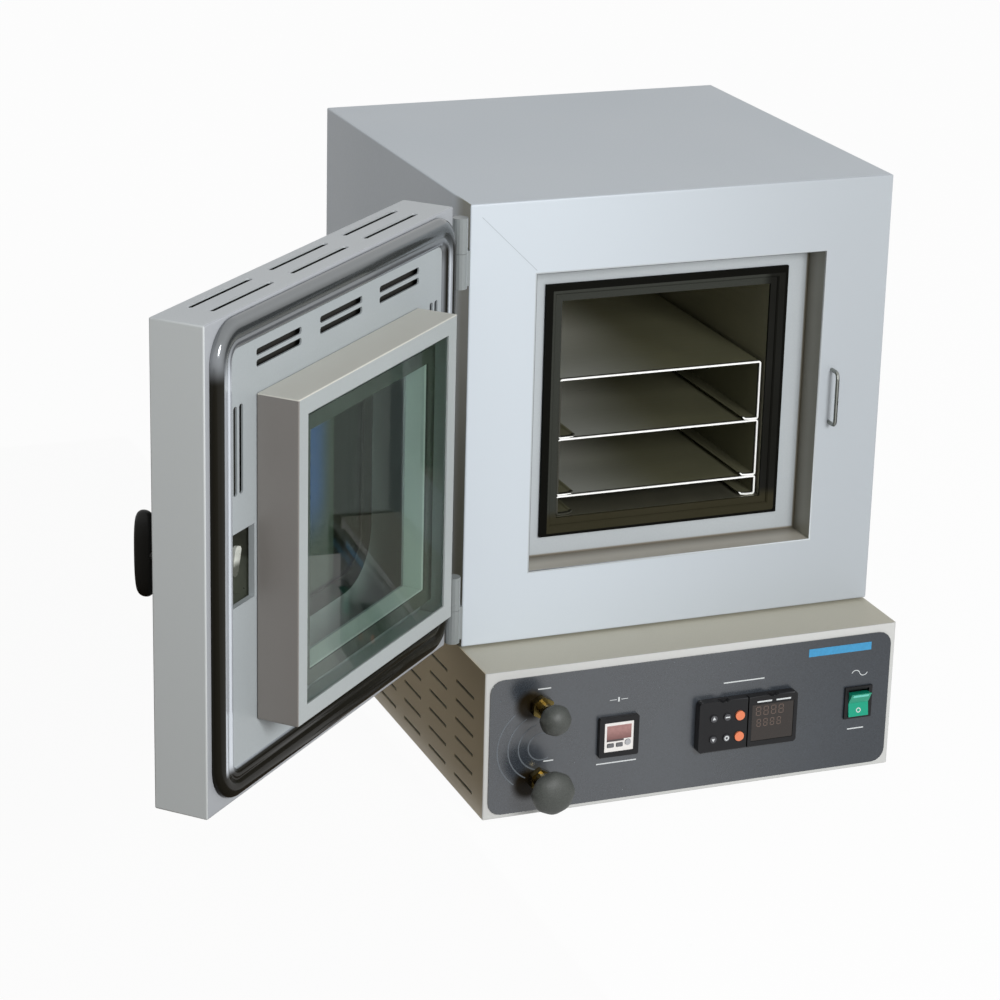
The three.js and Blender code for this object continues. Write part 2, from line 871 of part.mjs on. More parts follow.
// A lobed knob, turned about the stem. Its own origin is on its axis, at the back.
function valveKnob(radius) {
  const shape = new THREE.Shape();
  const steps = 4 * knob.lobes;
  for (let step = 0; step < steps; step++) {
    const angle = (step / steps) * 2 * Math.PI;
    const wave = 1 + knob.lobeShare * Math.cos(knob.lobes * angle);
    const reach = (radius * wave) / (1 + knob.lobeShare) - knob.bevel;
    const [x, y] = [reach * Math.cos(angle), reach * Math.sin(angle)];
    if (step === 0) shape.moveTo(x, y);
    else shape.lineTo(x, y);
  }
  shape.closePath();
  const geometry = new THREE.ExtrudeGeometry(shape, {
    depth: knob.depth - 2 * knob.bevel,
    bevelThickness: knob.bevel,
    bevelSize: knob.bevel,
    bevelSegments: 2,
  });
  const solid = geometry.translate(0, 0, knob.bevel).applyMatrix4(facingFront);
  const boreDepth = valve.nutLength + valve.collarLength + valve.stemLength - knob.stand;
  return cut(solid, rod(valve.stem + runningGap, 0, [-boreDepth - gap, overrun], 0));
}

function gaugeHousing() {
  const [x, z] = centres.gauge;
  const front = panelPieceFront - gauge.proud;
  const ledgeY = front + gauge.faceSink + gauge.faceThickness + gap;
  const wellSize = gauge.face - 2 * gauge.ledge;
  const bezel = roundedRectangle(gauge.size, gauge.size, gauge.radius);
  return cut(
    join(
      frontPlate(bezel, x, [front, panelPieceFront], z),
      block(
        around(x, gauge.body),
        [panelPieceFront - gap, panelPieceFront + gauge.bodyLength],
        around(z, gauge.body),
      ),
    ),
    block(around(x, gauge.face + 2 * gap), [front - overrun, ledgeY], around(z, gauge.face + 2 * gap)),
    block(around(x, wellSize), [ledgeY - overrun, ledgeY + gauge.well], around(z, wellSize)),
  );
}

// Places of the gauge's buttons, as shares of its face, from its middle.
const gaugeButtonShares = { left: [-0.29, -0.28], middle: [0.02, -0.28], right: [0.31, -0.22] };

function gaugeButtonShape(name, clearance) {
  if (name === "right") return circle(gaugeButton.round + clearance);
  const width = gaugeButton.width + 2 * clearance;
  const height = gaugeButton.height + 2 * clearance;
  return roundedRectangle(width, height, gaugeButton.height / 4);
}

function gaugeButtonPlace(name) {
  const [x, z] = centres.gauge;
  const [across, up] = gaugeButtonShares[name];
  return [x + across * gauge.face, z + up * gauge.face];
}

function gaugeFace() {
  const [x, z] = centres.gauge;
  const front = panelPieceFront - gauge.proud + gauge.faceSink;
  const plate = block(
    around(x, gauge.face),
    [front, front + gauge.faceThickness],
    around(z, gauge.face),
  );
  const holes = Object.keys(gaugeButtonShares).map((name) => {
    const [buttonX, buttonZ] = gaugeButtonPlace(name);
    const y = [front - overrun, front + gauge.faceThickness + overrun];
    return frontPlate(gaugeButtonShape(name, gap), buttonX, y, buttonZ);
  });
  return cut(plate, ...holes);
}

function addGaugeButtons() {
  const front = panelPieceFront - gauge.proud + gauge.faceSink - gaugeButton.proud;
  const back = front + gaugeButton.proud + gauge.faceThickness + gaugeButton.tail;
  for (const name of Object.keys(gaugeButtonShares)) {
    const [x, z] = gaugeButtonPlace(name);
    add(`gauge_button_${name}`, frontPlate(gaugeButtonShape(name, 0), x, [front, back], z), "greyKey");
  }
}

// Places of the six keys, as shares of the controller's width and height, from its middle.
const keyShares = {
  up: { place: [-0.355, 0.172], size: "small", look: "darkKey" },
  enter: { place: [-0.219, 0.172], size: "small", look: "darkKey" },
  run: { place: [-0.09, 0.172], size: "large", look: "orangeKey" },
  down: { place: [-0.355, -0.24], size: "small", look: "darkKey" },
  menu: { place: [-0.219, -0.24], size: "small", look: "darkKey" },
  stop: { place: [-0.09, -0.24], size: "large", look: "orangeKey" },
};

function keyPlace(name) {
  const [x, z] = centres.controller;
  const [across, up] = keyShares[name].place;
  return [x + across * controller.width, z + up * controller.height];
}

const controllerFront = panelPieceFront - controller.proud;
const keyFront = controllerFront - key.proud;
const keyBack = keyFront + key.length;
const splitX = centres.controller[0] + controller.split;
const displayX = (splitX + centres.controller[0] + controller.width / 2) / 2;
const displayZ = centres.controller[1] - controller.windowDrop;
const displayBack = controllerFront + controller.windowSink + controller.windowThickness;

function controllerHousing() {
  const [x, z] = centres.controller;
  const top = z + controller.height / 2;
  const front = roundedRectangle(controller.width, controller.height, controller.radius);
  const housing = join(
    frontPlate(front, x, [controllerFront, panelPieceFront], z),
    block(
      around(x, controller.body),
      [panelPieceFront - gap, panelPieceFront + controller.bodyLength],
      around(z, controller.bodyHeight),
    ),
  );
  const groove = block(
    around(splitX, controller.groove),
    [controllerFront - overrun, controllerFront + controller.grooveDepth],
    around(z, controller.height + 2 * overrun),
  );
  const halfWidth = controller.width / 4;
  const notches = [-1, 1].map((sign) =>
    rod(
      controller.notch,
      x + sign * halfWidth,
      [controllerFront - overrun, controllerFront + controller.notchDepth],
      top + controller.notch - controller.notchSink,
    ),
  );
  const window = block(
    around(displayX, controller.window + 2 * gap),
    [controllerFront - overrun, displayBack + gap],
    around(displayZ, controller.windowHeight + 2 * gap),
  );
  const keyWells = Object.keys(keyShares).map((name) => {
    const [keyX, keyZ] = keyPlace(name);
    const y = [controllerFront - overrun, keyBack + key.travel + gap];
    return rod(key[keyShares[name].size] + runningGap, keyX, y, keyZ);
  });
  return cut(housing, groove, ...notches, window, ...keyWells);
}

function controllerDisplay() {
  return block(
    around(displayX, controller.window),
    [controllerFront + controller.windowSink, displayBack],
    around(displayZ, controller.windowHeight),
  );
}

function addControllerKeys() {
  for (const [name, { size, look }] of Object.entries(keyShares)) {
    const [x, z] = keyPlace(name);
    add(`controller_key_${name}`, rod(key[size], x, [keyFront, keyBack], z), look);
  }
}

const rockerFront = panelPieceFront - rocker.frameProud;
const rockerPivotY = rockerFront + rocker.dip;

// The rocker's well is wide at the front, where its ends swing, and narrower inside the body.
function switchFrame() {
  const [x, z] = centres.rocker;
  const width = rocker.width + 2 * runningGap;
  const swing = Math.hypot(rocker.height / 2, rocker.rise + rocker.dip);
  const lean = Math.atan2(rocker.rise + rocker.dip, rocker.height / 2) - rocker.tiltDegrees * degrees;
  const mouth = 2 * (swing * Math.cos(lean) + runningGap);
  const depth = rocker.root + rocker.dip + 2 * runningGap;
  return cut(
    join(
      block(around(x, rocker.frame), [rockerFront, panelPieceFront], around(z, rocker.frameHeight)),
      block(
        around(x, rocker.body),
        [panelPieceFront - gap, panelPieceFront + rocker.bodyLength],
        around(z, rocker.bodyHeight),
      ),
    ),
    block(around(x, width), [rockerFront - overrun, panelPieceFront], around(z, mouth)),
    block(
      around(x, width),
      [rockerFront - overrun, rockerPivotY + depth],
      around(z, rocker.bodyHeight - 2 * sheet),
    ),
  );
}

// The rocker leans about its pivot, with its top half standing out.
function addRocker() {
  const [x, z] = centres.rocker;
  const half = rocker.height / 2;
  const shape = new THREE.Shape();
  shape.moveTo(-rocker.rise - rocker.dip, half);
  shape.lineTo(rocker.root / 2, half - rocker.root / 2);
  shape.lineTo(rocker.root, rocker.root / 2);
  shape.lineTo(rocker.root, -rocker.root / 2);
  shape.lineTo(rocker.root / 2, rocker.root / 2 - half);
  shape.lineTo(-rocker.rise - rocker.dip, -half);
  shape.lineTo(-rocker.dip, 0);
  shape.closePath();
  const solid = extrude(shape, rocker.width).applyMatrix4(facingSide).translate(-rocker.width / 2, 0, 0);
  const pivot = new THREE.Group();
  pivot.position.set(x, rockerPivotY, z);
  pivot.rotation.x = rocker.tiltDegrees * degrees;
  group.add(pivot);
  add("power_rocker", solid, "greenLens", pivot);
}

// The shelves: folded sheets that stand on each other, with legs that curl inwards.
function shelfShape(height) {
  const half = chamberInside / 2 - shelf.fromSide;
  const thick = shelf.sheet;
  const inner = shelf.bend - thick;
  const footStart = half - shelf.foot;
  const curlStart = half - shelf.foot / 2;
  const shape = new THREE.Shape();
  shape.moveTo(footStart, shelf.curl);
  shape.quadraticCurveTo(footStart, 0, curlStart, 0);
  shape.absarc(half - shelf.bend, shelf.bend, shelf.bend, -Math.PI / 2, 0);
  shape.absarc(half - shelf.bend, height - shelf.bend, shelf.bend, 0, Math.PI / 2);
  shape.absarc(shelf.bend - half, height - shelf.bend, shelf.bend, Math.PI / 2, Math.PI);
  shape.absarc(shelf.bend - half, shelf.bend, shelf.bend, Math.PI, (3 * Math.PI) / 2);
  shape.lineTo(-curlStart, 0);
  shape.quadraticCurveTo(-footStart, 0, -footStart, shelf.curl);
  shape.lineTo(-footStart - thick, shelf.curl);
  shape.quadraticCurveTo(-footStart - thick, thick, -curlStart, thick);
  shape.absarc(shelf.bend - half, shelf.bend, inner, (3 * Math.PI) / 2, Math.PI, true);
  shape.absarc(shelf.bend - half, height - shelf.bend, inner, Math.PI, Math.PI / 2, true);
  shape.absarc(half - shelf.bend, height - shelf.bend, inner, Math.PI / 2, 0, true);
  shape.absarc(half - shelf.bend, shelf.bend, inner, 0, -Math.PI / 2, true);
  shape.lineTo(curlStart, thick);
  shape.quadraticCurveTo(footStart + thick, thick, footStart + thick, shelf.curl);
  shape.closePath();
  return shape;
}

function addShelves() {
  const names = ["lower", "middle", "upper"];
  const y = [surroundFront + shelf.front, chamberFloor - shelf.fromBack];
  let floor = openingZ - chamberInside / 2 + gap;
  shelfHeights.forEach((height, i) => {
    add(`shelf_${names[i]}`, frontPlate(shelfShape(height), 0, y, floor), "stainless");
    floor += height + gap;
  });
}

// The hinges: two knuckles each, the lower one on the cabinet and the upper one on the door

function knuckle(z) {
  const barrel = extrude(circle(hinge.radius), z[1] - z[0]);
  return barrel.translate(hingeX, hingeY, z[0]);
}

function hingeBracket(top) {
  const bottom = top - hinge.length;
  const split = bottom + hinge.length * hinge.share;
  const z = [bottom, split];
  const pinTop = top - hinge.leaf;
  const webFront = -hinge.webForward;
  const web = block([hingeX, -side - gap], [webFront, webFront + hinge.web], z);
  const plate = block([-side - gap - hinge.leaf, -side - gap], [webFront, webFront + hinge.leafDepth], z);
  const post = extrude(circle(hinge.pin), pinTop - bottom).translate(hingeX, hingeY, bottom);
  return join(knuckle(z), web, plate, post);
}

function hingeLeaf(top) {
  const bottom = top - hinge.length + hinge.length * hinge.share + gap;
  const z = [bottom, top];
  const plate = block(
    [doorLeft - gap - hinge.leaf, doorLeft - gap],
    [hingeY - hinge.leafDepth - hinge.radius, hingeY],
    z,
  );
  const bore = extrude(circle(hinge.pin + gap), hinge.length).translate(hingeX, hingeY, bottom - overrun);
  const cap = block(
    around(hingeX, 2 * hinge.radius),
    around(hingeY, 2 * hinge.radius),
    [z[1] - hinge.leaf + gap, z[1] + overrun],
  );
  const barrel = cut(knuckle(z), cut(bore, cap));
  return join(barrel, cut(plate, cut(bore, cap)));
}

// The door, drawn closed. Its group turns about the hinge axis.

const doorGroup = new THREE.Group();
doorGroup.position.set(hingeX, hingeY, 0);
doorGroup.rotation.z = -door.openDegrees * degrees;
group.add(doorGroup);

const closedDoor = new THREE.Group();
closedDoor.position.set(-hingeX, -hingeY, 0);
doorGroup.add(closedDoor);

const latchX = strikeX + latch.beside;
const latchZ = openingZ - latch.drop;
const pocketX = [strikeX - latch.pocketHingeSide, strikeX + latch.pocketFreeSide];
const pocketZ = [strikeBottom - latch.pocketBelow, strikeBottom + strike.height + latch.pocketAbove];

const paneSize = boxSize - 2 * (sheet + gap);

// The middles and the length of a row of slots that fills a width, with the same gap between them.
function slotRow(width, { fromSide, between, columns }) {
  const length = (width - 2 * fromSide - (columns - 1) * between) / columns;
  const places = [];
  for (let column = 0; column < columns; column++) {
    places.push(doorMiddle + (column - (columns - 1) / 2) * (length + between));
  }
  return { length, places };
}

function spread(range, by) {
  return [range[0] - by, range[1] + by];
}

function doorOuterShell() {
  const outer = block([doorLeft, doorRight], [outerFace, innerFace], [doorBottom, doorTop]);
  const inner = block(
    [doorLeft + sheet, doorRight - sheet],
    [outerFace + sheet, innerFace - sheet],
    [doorBottom + sheet, doorTop - sheet],
  );
  const flangeHole = block(
    [doorLeft + door.flange, doorRight - door.flange],
    [innerFace - sheet - overrun, innerFace + overrun],
    [doorBottom + door.flange, doorTop - door.flange],
  );
  const windowHole = frontPlate(
    roundedRectangle(outerWidth, outerHeight, outerGlass.radius),
    0,
    [outerFace - overrun, outerFace + sheet + overrun],
    openingZ,
    fineSteps,
  );
  const spindleHole = rod(
    latch.spindle + runningGap,
    latchX,
    [outerFace - overrun, outerFace + sheet + overrun],
    latchZ,
  );
  const slots = [];
  const { length, places } = slotRow(doorWidth, doorSlots);
  for (const x of places) {
    for (const row of [0, 1]) {
      const y = innerFace - doorSlots.firstIn - row * doorSlots.pitchIn;
      const slot = extrude(slotShape(length, doorSlots.width), doorHeight + 2 * overrun);
      slots.push(slot.translate(x, y, doorBottom - overrun));
    }
  }
  return cut(outer, inner, flangeHole, windowHole, spindleHole, ...slots);
}

function doorInnerPanel() {
  const radius = ring.radius - panelInset;
  const outline = roundedRectangle(panelWidth, panelHeight, radius);
  const skirt = panel.skirt;
  const within = roundedRectangle(panelWidth - 2 * skirt, panelHeight - 2 * skirt, radius - skirt);
  const back = innerFace + gap;
  const plateBack = panelFront - sheet;
  const pan = cut(
    frontPlate(outline, ringX, [back, panelFront], ringZ, fineSteps),
    frontPlate(within, ringX, [back - overrun, plateBack], ringZ, fineSteps),
  );
  const tunnel = paneSize - 2 * (retainer.setIn + retainer.flange);
  const through = [plateBack - overrun, panelFront + overrun];
  const hole = block(around(0, tunnel), through, around(openingZ, tunnel));
  const slots = [];
  const { length, places } = slotRow(panelWidth, panelSlots);
  for (const row of [0, 1]) {
    const drop = row * panelSlots.row;
    for (const x of places) {
      const shape = slotShape(length, panelSlots.width);
      slots.push(frontPlate(shape, x, through, doorTop - panelSlots.fromTop - drop));
    }
    for (const sign of [-1, 1]) {
      const shape = slotShape(panelSlots.width, panelSlots.sideLength);
      const x = doorMiddle + sign * (doorWidth / 2 - panelSlots.sideIn + drop - panelSlots.row);
      slots.push(frontPlate(shape, x, through, openingZ + panelSlots.sideRise));
    }
  }
  const lip = block(
    spread(pocketX, latch.lipSheet),
    [panelFront - latch.lip, panelFront],
    spread(pocketZ, latch.lipSheet),
  );
  const pocket = block(pocketX, [panelFront - latch.lip - overrun, panelFront + overrun], pocketZ);
  return cut(join(cut(pan, hole, ...slots), lip), pocket);
}

// The ring's section, as shares of its width and of its height, from its outer edge.
const beadShares = [
  [0.13, 0],
  [0.13, 0.8],
  [0.18, 0.93],
  [0.29, 1],
  [0.4, 0.97],
  [0.47, 0.88],
  [0.54, 0.95],
  [0.66, 0.98],
  [0.8, 0.91],
  [0.92, 0.75],
  [1, 0.52],
  [1, 0],
];

function doorTrimRing() {
  const floor = innerFace + gap;
  const height = ring.proud - gap;
  const section = beadShares.map(([across, up]) => [across * ring.width, floor + up * height]);
  return sweptFrame(ringWidth, ringHeight, ring.radius, section, cornerSteps).translate(ringX, 0, ringZ);
}

function doorSeal() {
  const floor = innerFace + gap;
  const section = [
    [0, floor],
    [seal.thickness, floor],
    [seal.thickness, floor + seal.height],
    [0, floor + seal.height - seal.thickness / 2],
  ];
  return sweptFrame(ringWidth, ringHeight, ring.radius, section, cornerSteps).translate(ringX, 0, ringZ);
}

function windowBox() {
  const z = openingZ;
  const back = panelFront + gap;
  const outer = block(around(0, boxSize), [back, boxFront], around(z, boxSize));
  const within = boxSize - 2 * sheet;
  const sight = boxSize - 2 * box.rim;
  return cut(
    outer,
    block(around(0, within), [back - overrun, boxFront - sheet], around(z, within)),
    block(around(0, sight), [back - overrun, boxFront + overrun], around(z, sight)),
  );
}

function innerGlass() {
  return block(around(0, paneSize), [glassBack, glassFront], around(openingZ, paneSize));
}

// An angle frame that holds the pane from behind: a flange on the glass, and a wall down to the panel.
function glassRetainer() {
  const front = glassBack - gap;
  const inner = retainer.setIn + retainer.flange;
  const back = panelFront + gap;
  const section = [
    [retainer.setIn, front - retainer.wall],
    [retainer.setIn, front],
    [inner, front],
    [inner, back],
    [inner - retainer.wall, back],
    [inner - retainer.wall, front - retainer.wall],
  ];
  return sweptFrame(paneSize, paneSize, 0, section, 0).translate(0, 0, openingZ);
}

const paneFront = outerFace - gap; // the outer pane's outside face
const sealRadius = outerGlass.radius + glassSeal.lip;
const webStart = glassSeal.lip + gap;
const webEnd = webStart + glassSeal.web;

function outerPane() {
  const inset = glassSeal.web + 2 * gap;
  const width = outerWidth - 2 * inset;
  const height = outerHeight - 2 * inset;
  const shape = roundedRectangle(width, height, outerGlass.radius - inset);
  const y = [paneFront, paneFront + outerGlass.thickness];
  return frontPlate(shape, 0, y, openingZ, fineSteps);
}

function outerGlassSeal() {
  const outside = paneFront - gap - glassSeal.skin;
  const inside = paneFront + outerGlass.thickness + gap + glassSeal.skin;
  const reach = webEnd + glassSeal.lip;
  const section = [
    [0, outside],
    [0, outerFace - gap],
    [webStart, outerFace - gap],
    [webStart, outerFace + sheet + gap],
    [0, outerFace + sheet + gap],
    [0, inside],
    [reach, inside],
    [reach, inside - glassSeal.skin],
    [webEnd, inside - glassSeal.skin],
    [webEnd, outside + glassSeal.skin],
    [reach, outside + glassSeal.skin],
    [reach, outside],
  ];
  const width = outerWidth + 2 * glassSeal.lip;
  const height = outerHeight + 2 * glassSeal.lip;
  return sweptFrame(width, height, sealRadius, section, cornerSteps).translate(0, 0, openingZ);
}

function latchCase() {
  const front = panelFront - sheet - gap;
  const back = innerFace - latch.caseDepth;
  const clear = latch.lipSheet + gap;
  const wall = latch.lipSheet;
  return cut(
    block(spread(pocketX, clear + wall), [back, front], spread(pocketZ, clear + wall)),
    block(spread(pocketX, clear), [back + wall, front + overrun], spread(pocketZ, clear)),
    rod(latch.spindle + runningGap, latchX, [back - overrun, back + wall + overrun], latchZ),
  );
}

// The latch turns about its spindle: handle, spindle and tongue move together.

const latchGroup = new THREE.Group();
latchGroup.position.set(latchX, 0, latchZ);
closedDoor.add(latchGroup);

const tongueFront = panelFront - sheet - gap / 2;
const gripBack = outerFace - latch.gripStand;
const gripFront = gripBack - latch.gripThickness;
const spindleTip = gripBack - latch.gripThickness / 2;

function latchTongue() {
  const reach = latch.tongueReach;
  const half = latch.tongueWidth / 2;
  const shape = new THREE.Shape();
  shape.absarc(0, 0, half, Math.PI, 2 * Math.PI);
  shape.lineTo(half, reach - half / 2);
  shape.lineTo(half / 2, reach);
  shape.lineTo(-half / 2, reach);
  shape.lineTo(-half, reach - half / 2);
  shape.closePath();
  const blade = frontPlate(shape, 0, [tongueFront - latch.tongueThickness, tongueFront], 0);
  blade.rotateY(-latch.tongueDegrees * degrees);
  const spindle = rod(latch.spindle, 0, [spindleTip, tongueFront - latch.tongueThickness / 2], 0);
  return join(blade, spindle);
}

function latchHandle() {
  const half = latch.gripWidth / 2 - latch.gripBevel;
  const end = latch.grip / 2 - latch.gripBevel;
  const shape = new THREE.Shape();
  shape.moveTo(half, -end + latch.gripSlant);
  shape.lineTo(half, end);
  shape.lineTo(0, end);
  shape.lineTo(-half, end - latch.gripSlant);
  shape.lineTo(-half, -end);
  shape.lineTo(0, -end);
  shape.closePath();
  const geometry = new THREE.ExtrudeGeometry(shape, {
    depth: latch.gripThickness - 2 * latch.gripBevel,
    bevelThickness: latch.gripBevel,
    bevelSize: latch.gripBevel,
    bevelSegments: 2,
  });
  const grip = geometry.applyMatrix4(facingFront).translate(0, gripBack - latch.gripBevel, 0);
  const stem = rod(latch.stem, 0, [gripBack - latch.gripThickness / 2, outerFace - gap], 0);
  return cut(join(grip, stem), rod(latch.spindle + gap, 0, [spindleTip - gap, outerFace + overrun], 0));
}

// Assembly

add("body_shell", bodyShell(), "paint");
add("chamber_surround", chamberSurround(), "paint");
add("rear_panel", rearPanel(), "paint");
add("base_shell", baseShell(), "paint");
add("base_bottom_pan", baseBottomPan(), "zincSteel");
addFeet();
add("control_overlay", controlOverlay(), "overlay");
add("chamber", chamberBox(), "stainless");
add("chamber_gasket", chamberGasket(), "rubber");
add("insulation", insulationBlock(), "wool");
add("heater_left", heaterMat(-1), "heaterMat");
add("heater_right", heaterMat(1), "heaterMat");
add("temperature_probe", temperatureProbe(), "zincSteel");
add("vacuum_pipe", backPipe("vacuum"), "copper");
add("vent_pipe", backPipe("vent"), "copper");
add("vacuum_outlet", vacuumOutlet(), "brass");
add("power_inlet", powerInlet(), "blackPlastic");
add("solid_state_relay", solidStateRelay(), "zincSteel");
add("strike_loop", strikeLoop(), "zincSteel");
add("upper_hinge_bracket", hingeBracket(hingeTops.upper), "paint");
add("lower_hinge_bracket", hingeBracket(hingeTops.lower), "paint");
add("vacuum_valve", brassValve("vacuum"), "brass");
add("vent_valve", brassValve("vent"), "brass");
add("gauge_housing", gaugeHousing(), "blackPlastic");
add("gauge_face", gaugeFace(), "faceWhite");
addGaugeButtons();
add("controller_housing", controllerHousing(), "blackPlastic");
add("controller_display", controllerDisplay(), "smoked");
addControllerKeys();
add("switch_frame", switchFrame(), "blackPlastic");
addRocker();
addShelves();

for (const name of ["vacuum", "vent"]) {
  const [x, z] = centres[name];
  const knobBack = panelPieceFront - knob.stand;
  add(`${name}_knob`, valveKnob(knob[name]).translate(x, knobBack, z), "knobPlastic");
}

add("door_outer_shell", doorOuterShell(), "paint", closedDoor);
add("door_inner_panel", doorInnerPanel(), "innerPaint", closedDoor);
add("door_trim_ring", doorTrimRing(), "polished", closedDoor);
add("door_seal", doorSeal(), "rubber", closedDoor);
add("window_box", windowBox(), "boxPaint", closedDoor);
add("inner_glass", innerGlass(), "glass", closedDoor);
add("glass_retainer", glassRetainer(), "innerPaint", closedDoor);
add("outer_glass", outerPane(), "glass", closedDoor);
add("outer_glass_seal", outerGlassSeal(), "rubber", closedDoor);
add("latch_case", latchCase(), "zincSteel", closedDoor);
add("upper_hinge_leaf", hingeLeaf(hingeTops.upper), "paint", closedDoor);
add("lower_hinge_leaf", hingeLeaf(hingeTops.lower), "paint", closedDoor);
add("latch_handle", latchHandle(), "blackPlastic", latchGroup);
add("latch_tongue", latchTongue(), "zincSteel", latchGroup);

// The origin goes under the middle of the whole box, with the door open as it stands.
const bounds = new THREE.Box3().setFromObject(group, true);
const middle = bounds.getCenter(new THREE.Vector3());
group.position.set(-middle.x, -middle.y, -bounds.min.z);

export default group;
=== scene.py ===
# %% [markdown]
# A bench-top vacuum drying oven, dressed for its picture. The measured model comes first and is a fixed
# frame: every piece of it sits where it was designed. This script adds what a drawing office leaves
# out: the soft folds of the sheet metal, the marks on the controls, the screws, and every surface's finish.

# %% Load the measured model
import json
import math

import bmesh
import bpy
from mathutils import Matrix, Vector

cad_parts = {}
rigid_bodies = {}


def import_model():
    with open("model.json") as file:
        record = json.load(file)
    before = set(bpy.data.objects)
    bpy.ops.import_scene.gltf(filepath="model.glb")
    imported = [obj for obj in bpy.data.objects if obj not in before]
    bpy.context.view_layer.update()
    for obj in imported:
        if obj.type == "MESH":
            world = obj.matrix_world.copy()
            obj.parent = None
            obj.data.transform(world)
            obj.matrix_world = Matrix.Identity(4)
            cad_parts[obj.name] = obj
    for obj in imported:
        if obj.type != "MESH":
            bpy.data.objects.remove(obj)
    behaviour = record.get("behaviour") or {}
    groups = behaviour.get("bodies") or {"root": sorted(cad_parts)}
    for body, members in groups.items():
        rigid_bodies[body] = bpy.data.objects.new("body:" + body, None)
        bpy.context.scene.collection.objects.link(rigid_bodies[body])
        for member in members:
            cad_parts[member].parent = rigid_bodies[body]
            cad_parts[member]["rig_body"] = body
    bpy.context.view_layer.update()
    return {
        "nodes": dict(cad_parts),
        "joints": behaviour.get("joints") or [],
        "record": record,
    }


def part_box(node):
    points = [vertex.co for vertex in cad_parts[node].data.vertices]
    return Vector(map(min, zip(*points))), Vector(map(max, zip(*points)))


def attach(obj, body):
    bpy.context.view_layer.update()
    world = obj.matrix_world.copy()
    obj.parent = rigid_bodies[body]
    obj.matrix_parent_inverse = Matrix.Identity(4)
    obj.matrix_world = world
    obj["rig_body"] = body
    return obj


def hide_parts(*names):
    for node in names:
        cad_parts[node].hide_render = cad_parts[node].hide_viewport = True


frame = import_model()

MM = 0.001
nodes = frame["nodes"]
node_body = {name: nodes[name]["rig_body"] for name in nodes}
node_slot = {part["node"]: part["material_slot"] for part in frame["record"]["subparts"]}

# %% [markdown]
# The camera is placed first, because every choice of detail depends on what it sees. Its place, turn and
# lens were worked out from the cabinet's straight edges, so that the model's edges fall on the photograph's.

# %% Camera
camera_place = (-0.93575, -2.43206, 1.18269)
camera_turn = [math.radians(angle) for angle in (70.4453, -1.3933, -21.2021)]
camera_data = bpy.data.cameras.new("photograph")
camera_data.sensor_width = 36
camera_data.lens = 114.609
camera_data.clip_start = 0.1
camera_data.clip_end = 40
camera = bpy.data.objects.new("photograph", camera_data)
bpy.context.scene.collection.objects.link(camera)
camera.location = camera_place
camera.rotation_euler = camera_turn
bpy.context.scene.camera = camera
bpy.context.scene.view_settings.view_transform = "Standard"
print("camera lens:", camera_data.lens)

# %% [markdown]
# The door is drawn standing open. Its panels, window and handle are easier to shape with the door shut,
# when their edges run along the axes, so one matrix opens what was made shut, and its inverse shuts it.

# %% The door's hinge
door_joint = next(joint for joint in frame["joints"] if joint["name"] == "door_swing")
hinge_pin = Vector(door_joint["pos_m"])
opening_angle = math.radians(door_joint["range_deg"][1])
open_door = (Matrix.Translation(hinge_pin) @ Matrix.Rotation(-opening_angle, 4, "Z")
             @ Matrix.Translation(-hinge_pin))
shut_door = open_door.inverted()
print("door opened by degrees:", round(math.degrees(opening_angle), 1))

# %% [markdown]
# New pieces take their places from the measured ones, never from bare numbers where a box will do. One
# helper measures a piece after a turn, such as the one that shuts the door. The other reads its box at rest.

# %% Boxes of the measured pieces
def box_of(name, turn=Matrix()):
    points = [turn @ vert.co for vert in nodes[name].data.vertices]
    low = Vector([min(point[axis] for point in points) for axis in range(3)])
    high = Vector([max(point[axis] for point in points) for axis in range(3)])
    return low, high


def corners(name):
    return [Vector(corner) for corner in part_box(name)]


# %% [markdown]
# A finish is a small tree of shader nodes. Writing each tree by hand would hide what differs between two
# paints, so a helper adds a node with its settings and joins it to others in one call.

# %% Helpers for shader trees
def put(tree, kind, inputs=(), **settings):
    node = tree.nodes.new(kind)
    for name, value in settings.items():
        setattr(node, name, value)
    for name, value in dict(inputs).items():
        socket = node.inputs[name]
        if isinstance(value, bpy.types.NodeSocket):
            tree.links.new(value, socket)
        else:
            socket.default_value = value
    return node


def sums(tree, operation, *values):
    inputs = {place: value for place, value in enumerate(values)}
    return put(tree, "ShaderNodeMath", inputs, operation=operation).outputs[0]


def new_group(name, inputs, outputs):
    group = bpy.data.node_groups.new(name, "ShaderNodeTree")
    for label, default in inputs.items():
        kind = "NodeSocketFloat" if isinstance(default, (int, float)) else "NodeSocketColor"
        socket = group.interface.new_socket(label, in_out="INPUT", socket_type=kind)
        socket.default_value = default
    for label, kind in outputs.items():
        group.interface.new_socket(label, in_out="OUTPUT", socket_type=kind)
    return group, group.nodes.new("NodeGroupInput").outputs, group.nodes.new("NodeGroupOutput").inputs


print("shader helpers: put, sums, new_group")
